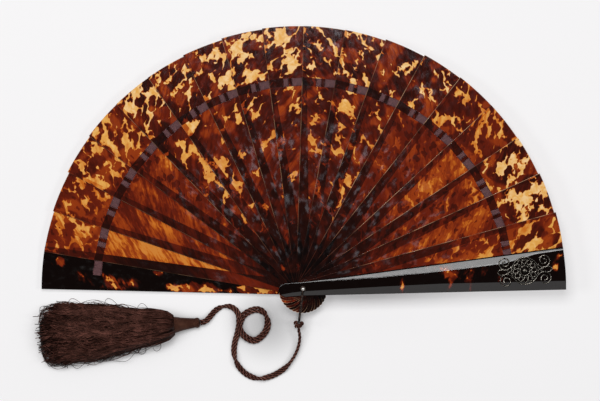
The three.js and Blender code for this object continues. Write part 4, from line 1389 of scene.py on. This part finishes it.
def smooth_through(knots):
    """A centripetal Catmull-Rom curve through the knots, with its ends run straight on."""
    knots = np.asarray(knots, float)
    padded = np.concatenate([[2 * knots[0] - knots[1]], knots, [2 * knots[-1] - knots[-2]]])
    before, start, end, after = padded[:-3], padded[1:-2], padded[2:-1], padded[3:]
    gaps = np.sqrt(np.linalg.norm(np.diff(padded, axis=0), axis=1))[:, None]
    first, here, last = gaps[:-2], gaps[1:-1], gaps[2:]
    leave = here * ((start - before) / first - (end - before) / (first + here)) + end - start
    arrive = here * ((after - end) / last - (after - start) / (here + last)) + end - start
    share = np.linspace(0, 1, CURVE_STEPS, endpoint=False)[:, None, None]
    square, cube = share**2, share**3
    curve = start + leave * share + (3 * (end - start) - 2 * leave - arrive) * square
    curve = curve + (2 * (start - end) + leave + arrive) * cube
    return np.concatenate([np.swapaxes(curve, 0, 1).reshape(-1, knots.shape[1]), knots[-1:]])


def in_ring(run):
    """How far a place along the cord is in its ring, where the strands lie looser and fuller."""
    leaving = ease(run, RING_TO - STACKING_LENGTH, RING_TO)
    return ease(run, RING_FROM, RING_FROM + STACKING_LENGTH) * (1 - leaving)


def strand_line(side):
    """One strand's middle: beside the cord's route, with a half turn about the other at each twist."""
    route, run = along_line(smooth_through(CORD_ROUTE), STRAND_RING)
    heading = np.gradient(route, axis=0)[:, :2]
    across = np.stack([-heading[:, 1], heading[:, 0]], axis=1) / np.linalg.norm(heading, axis=1)[:, None]
    half = HALF_TWIST_LENGTH / 2
    angle = np.pi * sum(ease(run, place - half, place + half) for place in HALF_TWISTS_AT)
    stacked = 1 - ease(run, STACKED_TO - STACKING_LENGTH, STACKED_TO)
    angle = angle + np.pi / 2 * stacked
    offset = STRAND_SPACING / 2 + RING_SLACK * in_ring(run)
    plan = route[:, :2] + across * (side * offset * np.cos(angle))[:, None]
    rise = offset * (np.abs(np.sin(angle)) + side * np.sin(angle))
    line = np.column_stack([plan, route[:, 2] + STRAND_CREST / 2 + rise])
    return along_line(line, STRAND_RING)[0]


def plied(path, crest):
    """A strand of three twisted plies along a path, whose radius falls in the grooves between them.

    Its points, and how deep each lies in a groove: 0 on a ply's crest and 1 between two plies.
    """
    turns = run_along(path)[:, None] / PLY_PITCH
    angle = np.linspace(0, 2 * np.pi, STRAND_SIDES, endpoint=False) - 2 * np.pi * turns
    groove = np.sin(STRAND_PLIES / 2 * angle) ** 2
    rings = swept(path, 1.0, STRAND_SIDES) - path[:, None, :]
    points = path[:, None, :] + rings * (crest / 2 * (1 - PLY_RELIEF * groove))[..., None]
    return points.reshape(-1, 3), groove.ravel() ** GROOVE_POWER


def silk_group():
    """Dyed silk: uneven dye along the threads, and painted shade down in the grooves."""
    inputs = {"Place": "Vector", "Groove": "Float", "Dark": "Color", "Middle": "Color", "Light": "Color"}
    outputs = {"Color": "Color", "Roughness": "Float", "Height": "Float"}
    tree, given, result = new_group("silk", inputs, outputs)
    fibres = noise(tree, given["Place"], FIBRES_PER_METRE, 3.0, 0.6)
    dye = times(tree, noise(tree, given["Place"], DYES_PER_METRE, 2.0), DYE_SHARE)
    tone = plus(tree, times(tree, fibres, FIBRE_SHARE), dye)
    lit = colour_mix(tree, between(tree, tone, *LIT_SILK), given["Middle"], given["Light"])
    tree.links.new(colour_mix(tree, given["Groove"], lit, given["Dark"]), result["Color"])
    tree.links.new(between(tree, fibres, *CLOUDY, *SILK_ROUGHNESS), result["Roughness"])
    tree.links.new(fibres, result["Height"])
    return tree


silk = silk_group()


def silk_material(name, dark, middle, light):
    """Silk thread or braid with those three tones, which reads the piece's groove attribute."""
    material, tree, shader = new_material(name, Specular_IOR_Level=0.2, Specular_Tint=linear("d9a58f"))
    sockets = {
        "Place": node(tree, "TexCoord").outputs["Object"],
        "Groove": attribute(tree, "groove"),
        "Dark": linear(dark),
        "Middle": linear(middle),
        "Light": linear(light),
    }
    dyed = node(tree, "Group", sockets, node_tree=silk).outputs
    tree.links.new(dyed["Color"], shader.inputs["Base Color"])
    tree.links.new(dyed["Roughness"], shader.inputs["Roughness"])
    tree.links.new(bump(tree, dyed["Height"], FIBRE_HEIGHT), shader.inputs["Normal"])
    return material


# The cord's dark tone lies down in the grooves between its plies: painted shade.
cord_silk = silk_material("cord_silk", "060202", "56312a", "8a5c50")
for name, side in (("cord_strand_a", 1), ("cord_strand_b", -1)):
    line = strand_line(side)
    crest = STRAND_CREST + (RING_CREST - STRAND_CREST) * in_ring(run_along(line))
    points, groove = plied(line, crest[:, None])
    faces = tube_faces(len(line), STRAND_SIDES)
    piece = add_piece(f"{name}_plies", points, faces, cord_silk, "bail", [name], {"groove": groove})

# Knot: the doubled cord's own bight, passed round the bail's bar and drawn tight over its two ends. It
# is a few coils of the same plied silk about a filled middle, painted dark as shade.
KNOT_HEIGHT = 0.0066
KNOT_CREST = 0.0024
KNOT_COIL_RADIUS = 0.0011
KNOT_COIL_ARC = 335.0
KNOT_COIL_TILT = 0.0004
KNOT_COIL_POINTS = 60
# The middles of the knot's coils, as along and across from the bar, and above the knot's middle.
KNOT_COILS = [
    (0.0012, 0.0025, 0.0009),
    (0.0012, -0.0025, 0.0009),
    (0.0041, -0.0013, 0.0006),
    (0.0032, 0.0012, 0.0012),
]
KNOT_ENDS_ALONG, KNOT_ENDS_LENGTH = 0.0034, 0.0036
KNOT_ENDS_ACROSS = 0.0008
KNOT_ENDS_RISE, KNOT_ENDS_FALL = (0.0, -0.0016), 0.0004
KNOT_END_POINTS = 24
FILLING_ALONG, FILLING_RADIUS, FILLING_HALF_HEIGHT = 0.0026, 0.0029, 0.0021
FILLING_RINGS, FILLING_SIDES, FILLING_TO = 12, 24, 0.48
# The share of the dark tone on the filled middle: painted shade.
FILLING_SHADE = 0.7


def knot_lines():
    """The knot's small coils of cord, and its two ends, which leave below and run straight."""
    angle = np.radians(np.linspace(0, KNOT_COIL_ARC, KNOT_COIL_POINTS))
    lines = []
    for along, across, rise in KNOT_COILS:
        plan = polar(KNOT_COIL_RADIUS, angle, (BAIL_REACH + along, across))
        lines.append(np.column_stack([plan, KNOT_HEIGHT + rise + KNOT_COIL_TILT * np.cos(angle)]))
    leave = np.linspace(0, 1, KNOT_END_POINTS)
    leave_x = BAIL_REACH + KNOT_ENDS_ALONG + KNOT_ENDS_LENGTH * leave
    leave_y = np.full_like(leave, KNOT_ENDS_ACROSS)
    for rise in KNOT_ENDS_RISE:
        leave_z = KNOT_HEIGHT + rise - KNOT_ENDS_FALL * leave
        lines.append(np.stack([leave_x, leave_y, leave_z], axis=1))
    return lines


def knot_filling():
    """The filled middle of the knot, painted dark as shade: a turned oval beside the bar."""
    rise = np.linspace(-FILLING_TO * np.pi, FILLING_TO * np.pi, FILLING_RINGS)
    profile = np.stack([FILLING_RADIUS * np.cos(rise), FILLING_HALF_HEIGHT * np.sin(rise)], axis=1)
    points = turned(profile, FILLING_SIDES) + (BAIL_REACH + FILLING_ALONG, 0.0, KNOT_HEIGHT)
    return points, tube_faces(FILLING_RINGS, FILLING_SIDES)


filling_points, filling_faces = knot_filling()
knot_parts = [(turn_about_rivet(filling_points, BAIL_ANGLE), filling_faces)]
knot_grooves = [np.full(len(filling_points), FILLING_SHADE)]
for line in knot_lines():
    points, groove = plied(turn_about_rivet(line, BAIL_ANGLE), KNOT_CREST)
    knot_parts.append((points, tube_faces(len(line), STRAND_SIDES)))
    knot_grooves.append(groove)
knot_points, knot_faces = joined(knot_parts)
knot = add_piece(
    "cord_knot_turns",
    knot_points,
    knot_faces,
    cord_silk,
    "bail",
    ["cord_knot"],
    {"groove": np.concatenate(knot_grooves)},
)

# Tassel neck: the head of the tassel, a cone bound lengthwise with close satin threads, which the
# cord runs into. It lies on the table.
TASSEL_START = (-0.0946, -0.0314, 0.0)
TASSEL_ANGLE = 185.0
NECK_STATIONS = [
    (0, 0.0062, 0.0062), (0.0012, 0.0089, 0.0089), (0.0028, 0.0095, 0.0095), (0.0046, 0.0088, 0.0088),
    (0.009, 0.0098, 0.0098), (0.016, 0.0118, 0.0118), (0.0235, 0.0152, 0.0152),
]
NECK_ROWS, NECK_SIDES = 48, 144
NECK_THREADS = 36
NECK_TWIST = 9.0
NECK_GROOVE_POWER = 3
NECK_RELIEF = 0.03


def on_tassel(points):
    """Points of the tassel's own frame, whose +X runs from the cord to the threads' ends, in place."""
    return turn_about_rivet(points, TASSEL_ANGLE) + TASSEL_START


def tassel_sections(stations_given, count):
    """Even stations along a lying soft form, each with its width and its height."""
    curve = smooth_through(stations_given)
    along = np.linspace(curve[0, 0], curve[-1, 0], count)
    return along, np.interp(along, curve[:, 0], curve[:, 1]), np.interp(along, curve[:, 0], curve[:, 2])


neck_sections = tassel_sections(NECK_STATIONS, NECK_ROWS)
neck_along, neck_width, neck_height = (section[:, None] for section in neck_sections)
neck_angle = np.linspace(0, 2 * np.pi, NECK_SIDES, endpoint=False)
neck_twist = neck_angle + NECK_TWIST * neck_along
# The grooves between the bound threads take the dark tone: painted shade.
neck_groove = np.abs(np.sin(NECK_THREADS / 2 * neck_twist)) ** NECK_GROOVE_POWER
neck_draw = 0.5 * (1 - NECK_RELIEF * neck_groove)
neck_points = np.stack(
    [
        neck_along + 0 * neck_angle,
        neck_width * neck_draw * np.cos(neck_angle),
        neck_height * (0.5 + neck_draw * np.sin(neck_angle)),
    ],
    axis=-1,
).reshape(-1, 3)
neck_satin = silk_material("neck_satin", "120705", "3e221a", "6b4638")
neck = add_piece(
    "tassel_neck_satin",
    on_tassel(neck_points),
    tube_faces(len(neck_along), NECK_SIDES),
    neck_satin,
    "bail",
    ["tassel_neck"],
    {"groove": neck_groove.ravel()},
)

# Tassel skirt: some thousand thin silk threads, bundled over a solid heart. They turn over the shoulder
# at the neck and spread to ragged ends, and a few lie across the bundle or have sprung loose.
SKIRT_START = 0.0233
SKIRT_STATIONS = [
    (0, 0.0172, 0.016), (0.002, 0.0228, 0.019), (0.0075, 0.0288, 0.0215), (0.019, 0.034, 0.022),
    (0.034, 0.0365, 0.021), (0.061, 0.048, 0.019), (0.090, 0.054, 0.0165), (0.112, 0.053, 0.0135),
    (0.121, 0.043, 0.010), (0.124, 0.028, 0.007),
]
SKIRT_ROWS = 90
SKIRT_FULL_TO = 0.112
HEART_SHARE, HEART_SIDES = 0.74, 60
THREAD_RADIUS, THREAD_SIDES = 0.0004, 3
THREAD_WAVES, THREAD_WAVE_SIZES = 2.2, (0.3, 1.0)
QUICK_WAVE_SIZE, QUICK_WAVE_RATE = 0.45, 2.6
# Most threads are light or dark and few are in between, by the two powers of a beta draw.
THREAD_TONES = (0.5, 0.5)
# The bundled threads: their locks, and each thread's own scatter and wave about its lock.
LOCK_COUNT = 110
LOCK_DEPTHS, LOCK_ENDS = (0.78, 1.0), (0.103, 0.1235)
LOCK_ANGLE_WAVE, LOCK_DEPTH_WAVE = 0.36, 0.05
THREAD_COUNT, THREAD_POINTS, THREAD_SPACING_POWER = 1300, 17, 1.1
THREAD_START, THREAD_LENGTHS, THREAD_END_SPREAD = 0.0004, (0.092, 0.1255), 0.0028
THREAD_ANGLE_SPREAD, THREAD_ANGLE_WAVE = 0.05, 0.24
THREAD_DEPTH_SPREAD, THREAD_DEPTH_WAVE = 0.03, 0.04
THREAD_DEPTHS = (0.55, 1.02)
SHORTER_AT_SIDES, SIDES_POWER = 0.013, 6
HOOK_SPREAD, HOOK_SHARES, HOOKED = 0.0022, (1.0, 1.0, 0.4), (0.86, 1.0)
# The threads that lie across the bundle.
CROSSING_COUNT, CROSSING_POINTS, CROSSING_RADIUS = 90, 14, 0.6 * THREAD_RADIUS
CROSSING_STARTS, CROSSING_LENGTHS, CROSSING_TO = (0.012, 0.1), (0.012, 0.04), 0.12
CROSSING_ANGLES, CROSSING_SLANT, CROSSING_WAVE = (0.15, 0.85), (0.5, 0.7), 0.06
CROSSING_DEPTH = 1.03
# On top of the bundle, the crossing threads take at most this share of the dark tone: painted as lit.
CROSSING_DARKEST = 0.15
# The threads that have sprung loose. The first one is a loop at the shoulder: its start, length and bow.
LOOSE_COUNT, LOOSE_POINTS, LOOSE_RADIUS = 110, 48, 0.62 * THREAD_RADIUS
LOOSE_SIDES = [0.7, 0.3]
LOOSE_STARTS, LOOSE_LENGTHS, LOOSE_TO = (0.012, 0.112), (0.012, 0.045), 0.122
LOOSE_BOW, LOOSE_BOW_SKEW = (2.0, 0.0013), (0.6, 1.5)
LOOSE_CURL, LOOSE_CURL_TURNS, LOOSE_CURL_STARTS = (1.5, 0.0009), (0.6, 1.6), (0, 6.3)
LOOSE_EDGE, LOOSE_LEAVES_EDGE = 0.93, (-0.2, 0.15)
LOOSE_HEIGHTS, LOOSE_SINKS = (0.2, 0.75), 0.85
SHOULDER_LOOP = (0.022, 0.012, 0.0058)
draw = np.random.default_rng(11)
skirt_along, skirt_width, skirt_height = tassel_sections(SKIRT_STATIONS, SKIRT_ROWS)


def in_skirt(along, angle, depth):
    """Points at a share depth of the way out from the skirt's middle, lying on the table."""
    width = np.interp(along, skirt_along, skirt_width)
    height = np.interp(along, skirt_along, skirt_height)
    y = width / 2 * depth * np.cos(angle)
    z = height / 2 * (1 + depth * np.sin(angle))
    return np.stack(np.broadcast_arrays(along, y, z), axis=-1)


def wave(count, points, strength):
    """One random wave for each thread, which grows along it: two sines of random phase."""
    share = np.linspace(0, 1, points)
    phase = draw.uniform(0, 2 * np.pi, (2, count, 1))
    size = strength * draw.uniform(*THREAD_WAVE_SIZES, (count, 1))
    slow = np.sin(THREAD_WAVES * np.pi * share + phase[0])
    quick = QUICK_WAVE_SIZE * np.sin(QUICK_WAVE_RATE * THREAD_WAVES * np.pi * share + phase[1])
    return size * (slow + quick) * np.sqrt(share)


def skirt_threads():
    """The lines of the bundled threads, from the neck over the shoulder to their ends.

    Threads keep together in locks, which wander and lie deeper or higher, and each also wanders alone.
    """
    each_lock = (LOCK_COUNT, 1)
    each = (THREAD_COUNT, 1)
    lock = draw.integers(0, LOCK_COUNT, THREAD_COUNT)
    lock_angle = draw.uniform(0, 2 * np.pi, each_lock) + wave(LOCK_COUNT, THREAD_POINTS, LOCK_ANGLE_WAVE)
    lock_depth = draw.uniform(*LOCK_DEPTHS, each_lock) + wave(LOCK_COUNT, THREAD_POINTS, LOCK_DEPTH_WAVE)
    lock_end = draw.uniform(*LOCK_ENDS, each_lock)
    share = np.linspace(0, 1, THREAD_POINTS) ** THREAD_SPACING_POWER
    ends = lock_end[lock] + draw.normal(0, THREAD_END_SPREAD, each)
    ends = ends - SHORTER_AT_SIDES * np.cos(lock_angle[lock][:, -1:]) ** SIDES_POWER
    along = THREAD_START + np.clip(ends, *THREAD_LENGTHS) * share
    angle = lock_angle[lock] + draw.normal(0, THREAD_ANGLE_SPREAD, each)
    angle = angle + wave(THREAD_COUNT, THREAD_POINTS, THREAD_ANGLE_WAVE)
    depth = lock_depth[lock] + draw.normal(0, THREAD_DEPTH_SPREAD, each)
    depth = depth + wave(THREAD_COUNT, THREAD_POINTS, THREAD_DEPTH_WAVE)
    path = in_skirt(np.minimum(along, SKIRT_FULL_TO), angle, np.clip(depth, *THREAD_DEPTHS))
    path[..., 0] = along
    hook = draw.normal(0, HOOK_SPREAD, (THREAD_COUNT, 3)) * HOOK_SHARES
    path += hook[:, None, :] * ease(share, *HOOKED)[None, :, None]
    return path


def crossing_threads():
    """Threads that lie aslant over the top of the bundle."""
    each = (CROSSING_COUNT, 1)
    share = np.linspace(0, 1, CROSSING_POINTS)
    start = draw.uniform(*CROSSING_STARTS, each)
    along = np.minimum(start + draw.uniform(*CROSSING_LENGTHS, each) * share, CROSSING_TO)
    slant = draw.normal(*CROSSING_SLANT, each) * share
    angle = np.pi * draw.uniform(*CROSSING_ANGLES, each) + slant
    angle = angle + wave(CROSSING_COUNT, CROSSING_POINTS, CROSSING_WAVE)
    return in_skirt(along, angle, CROSSING_DEPTH)


def loose_threads():
    """Threads that have sprung loose: they leave an edge of the bundle, bow or curl out and sink down."""
    each = (LOOSE_COUNT, 1)
    share = np.linspace(0, 1, LOOSE_POINTS)
    side = draw.choice([1.0, -1.0], each, p=LOOSE_SIDES)
    start = draw.uniform(*LOOSE_STARTS, each)
    long = draw.uniform(*LOOSE_LENGTHS, each)
    swell = draw.gamma(*LOOSE_BOW, each)
    bow = swell * np.sin(np.pi * share ** draw.uniform(*LOOSE_BOW_SKEW, each))
    curl = draw.gamma(*LOOSE_CURL, each)
    curled = 2 * np.pi * share * draw.uniform(*LOOSE_CURL_TURNS, each)
    turn = curled + draw.uniform(*LOOSE_CURL_STARTS, each)
    start[0], long[0], loop_bow = SHOULDER_LOOP
    side[0], curl[0] = -1.0, 0.0
    bow[0] = loop_bow * np.sin(np.pi * share)
    along = np.clip(start + long * share, 0, LOOSE_TO) + curl * np.cos(turn)
    edge = np.interp(along, skirt_along, skirt_width) / 2
    tail_off = draw.uniform(*LOOSE_LEAVES_EDGE, each) * np.clip(share - 0.5, 0, 1)
    y = side * (edge * (LOOSE_EDGE + tail_off) + bow) + curl * np.sin(turn)
    top = np.interp(along, skirt_along, skirt_height) * draw.uniform(*LOOSE_HEIGHTS, each)
    z = top * (1 - LOOSE_SINKS * share)
    return np.stack([along, y, z], axis=-1)


def thread_mesh(paths, radius):
    """Thin tubes along many lines at once, kept on or above the table."""
    lifted = paths.copy()
    lifted[..., 2] = np.maximum(lifted[..., 2], radius)
    rings = swept(lifted, radius, THREAD_SIDES)
    tubes, rings_each = paths.shape[:2]
    return rings.reshape(-1, 3), tube_faces(rings_each, THREAD_SIDES, tubes)


tassel_silk = silk_material("tassel_silk", "080303", "341c17", "7c4f45")
heart_angle = np.linspace(0, 2 * np.pi, HEART_SIDES, endpoint=False)
heart_points = in_skirt(skirt_along[:, None], heart_angle, HEART_SHARE).reshape(-1, 3)
# The heart takes the full dark tone: painted shade deep among the threads.
add_piece(
    "tassel_heart",
    on_tassel(heart_points + (SKIRT_START, 0, 0)),
    tube_faces(SKIRT_ROWS, HEART_SIDES),
    tassel_silk,
    "bail",
    ["tassel_skirt"],
    {"groove": np.ones(len(heart_points))},
)
for name, paths, radius, darkest in (
    ("tassel_threads", skirt_threads(), THREAD_RADIUS, 1.0),
    ("tassel_crossing_threads", crossing_threads(), CROSSING_RADIUS, CROSSING_DARKEST),
    ("tassel_loose_threads", loose_threads(), LOOSE_RADIUS, 1.0),
):
    points, faces = thread_mesh(paths + (SKIRT_START, 0, 0), radius)
    tone = darkest * draw.beta(*THREAD_TONES, len(paths))
    groove = np.repeat(tone, len(points) // len(paths))
    add_piece(name, on_tassel(points), faces, tassel_silk, "bail", attributes={"groove": groove})

# Studio: a white table seen from straight above through a long lens, under a large softbox beyond the
# picture's top edge, one at each side, a weak card towards the bottom edge and a thin strip that draws
# the front guard's crease. The table has a painted soft grey shade by the cord and the blades' tails.
PHOTO_WIDTH, PHOTO_HEIGHT = 600, 401
RIVET_PIXEL = (303.0, 288.5)
METRES_PER_PIXEL = 0.000916
CAMERA_HEIGHT = 3.2
FAN_MIDDLE_Z = 0.012
SENSOR_WIDTH = 36.0
TABLE_REACH, TABLE_SIDES = 4.0, 96
TABLE_DROP = 0.0001
TABLE_GLOW = 0.58
TABLE_FADES = (0.45, 1.3)
# Painted contact shade south of the fan, from an occlusion node, and the band where it sets in.
SHADE_REACH, SHADE_SAMPLES = 0.03, 8
OPEN_SKY = (0.25, 0.95)
DEEPEST_SHADE = 0.1
SHADED_BELOW = (-0.012, -0.03)
SURROUND, SURROUND_SEEN = 0.05, 0.96
FAN_MIDDLE = (0.0, 0.08, 0.0)
# Spots of painted shade on the table, as along, across, reach along and reach across.
CORD_SHADE = (-0.033, -0.033, 0.047, 0.045)
CORD_SHADE_DEPTH = 0.45
GUARD_SHADE = (0.055, -0.012, 0.12, 0.05)
GUARD_SHADE_DEPTH = 0.35


def spot(tree, place, along, across, long, wide):
    """1 at a place on the table, falling softly to 0 at its reach."""
    sockets = {"Vector": place, "Location": (along, across, 0.0), "Scale": (long, wide, 1.0)}
    near = node(tree, "Mapping", sockets, vector_type="TEXTURE").outputs[0]
    away = node(tree, "VectorMath", {0: near}, operation="LENGTH").outputs["Value"]
    return between(tree, away, 1.0, 0.0)


def table_material():
    """A pale matt table that fades into the white background away from the fan, with painted shade."""
    material, tree, shader = new_material("pale_table", Roughness=0.9, Specular_IOR_Level=0.1)
    place = node(tree, "TexCoord").outputs["Object"]
    # A painted grey shade by the cord and the tails.
    shade = times(tree, spot(tree, place, *CORD_SHADE), CORD_SHADE_DEPTH)
    pale = colour_mix(tree, shade, linear("f9f8f9"), (0.0, 0.0, 0.0, 1.0))
    tree.links.new(pale, shader.inputs["Base Color"])
    away = node(tree, "VectorMath", {0: place}, operation="LENGTH").outputs["Value"]
    rays = node(tree, "LightPath").outputs
    seen = number(tree, "MAXIMUM", rays["Is Camera Ray"], rays["Is Glossy Ray"])
    # South of the fan, an occlusion node darkens the glow: painted contact shade.
    north = axes_of(tree, place)["Y"]
    sky_sockets = {"Distance": SHADE_REACH}
    open_sky = node(tree, "AmbientOcclusion", sky_sockets, samples=SHADE_SAMPLES).outputs["AO"]
    shaded = between(tree, open_sky, *OPEN_SKY, DEEPEST_SHADE, 1.0)
    strength = mixed(tree, between(tree, north, *SHADED_BELOW), 1.0, shaded)
    strength = times(tree, strength, minus(tree, 1.0, shade))
    # Less glow by the front guard, placed to deepen its shadow there: painted shade.
    lost = times(tree, spot(tree, place, *GUARD_SHADE), GUARD_SHADE_DEPTH)
    glow = minus(tree, between(tree, away, *TABLE_FADES, TABLE_GLOW, 1.0), lost)
    fade = times(tree, glow, seen)
    white = node(tree, "Emission", {"Color": linear("f5f4f5"), "Strength": strength}).outputs[0]
    surface = node(tree, "MixShader", {0: fade, 1: shader.outputs[0], 2: white}).outputs[0]
    tree.links.new(surface, tree.nodes["Material Output"].inputs["Surface"])
    return material


table_angle = np.linspace(0, 2 * np.pi, TABLE_SIDES, endpoint=False)
table_points = np.column_stack([polar(TABLE_REACH, table_angle), np.full(TABLE_SIDES, -TABLE_DROP)])
table_mesh = bpy.data.meshes.new("table")
table_mesh.from_pydata(table_points.tolist(), [], [list(range(TABLE_SIDES))])
table_mesh.materials.append(table_material())
table = bpy.data.objects.new("table", table_mesh)
bpy.context.scene.collection.objects.link(table)


def soft_light(name, place, size, radiance, target=None):
    """A soft light of that size in metres and radiance, facing down or towards a target."""
    lamp = bpy.data.lights.new(name, "AREA")
    lamp.shape = "RECTANGLE"
    lamp.size, lamp.size_y = size
    lamp.energy = radiance * np.pi * size[0] * size[1]
    light = bpy.data.objects.new(name, lamp)
    light.location = place
    if target is not None:
        aim = light.location.copy()
        aim.xyz = np.subtract(target, place)
        light.rotation_euler = aim.to_track_quat("-Z", "Y").to_euler()
    light.visible_camera = False
    bpy.context.scene.collection.objects.link(light)


soft_light("overhead_softbox", (-0.31, 0.99, 2.5), (1.3, 1.06), 11.0)
soft_light("left_softbox", (-2.2, 0.2, 2.6), (0.8, 0.8), 9.6, FAN_MIDDLE)
soft_light("right_softbox", (2.2, 0.0, 2.4), (0.8, 0.8), 10.4, FAN_MIDDLE)
soft_light("lower_card", (0.2, -0.5, 2.5), (0.9, 0.4), 1.7)
soft_light("crease_strip", (0.1, 0.43, 2.45), (0.8, 0.05), 22.0)


def white_world():
    """A dim even surround, which the camera sees as white."""
    world = bpy.data.worlds.new("studio")
    world.use_nodes = True
    tree = world.node_tree
    rays = node(tree, "LightPath").outputs
    strength = between(tree, rays["Is Camera Ray"], 0.0, 1.0, SURROUND, SURROUND_SEEN)
    tree.links.new(strength, tree.nodes["Background"].inputs["Strength"])
    tree.nodes["Background"].inputs["Color"].default_value = (1.0, 1.0, 1.0, 1.0)
    return world


scene = bpy.context.scene
scene.world = white_world()
scene.view_settings.view_transform = "Standard"
lens = bpy.data.cameras.new("camera")
lens.sensor_width = SENSOR_WIDTH
lens.lens = SENSOR_WIDTH * (CAMERA_HEIGHT - FAN_MIDDLE_Z) / (PHOTO_WIDTH * METRES_PER_PIXEL)
camera = bpy.data.objects.new("camera", lens)
camera.location = (
    (PHOTO_WIDTH / 2 - RIVET_PIXEL[0]) * METRES_PER_PIXEL,
    (RIVET_PIXEL[1] - PHOTO_HEIGHT / 2) * METRES_PER_PIXEL,
    CAMERA_HEIGHT,
)
scene.collection.objects.link(camera)
scene.camera = camera
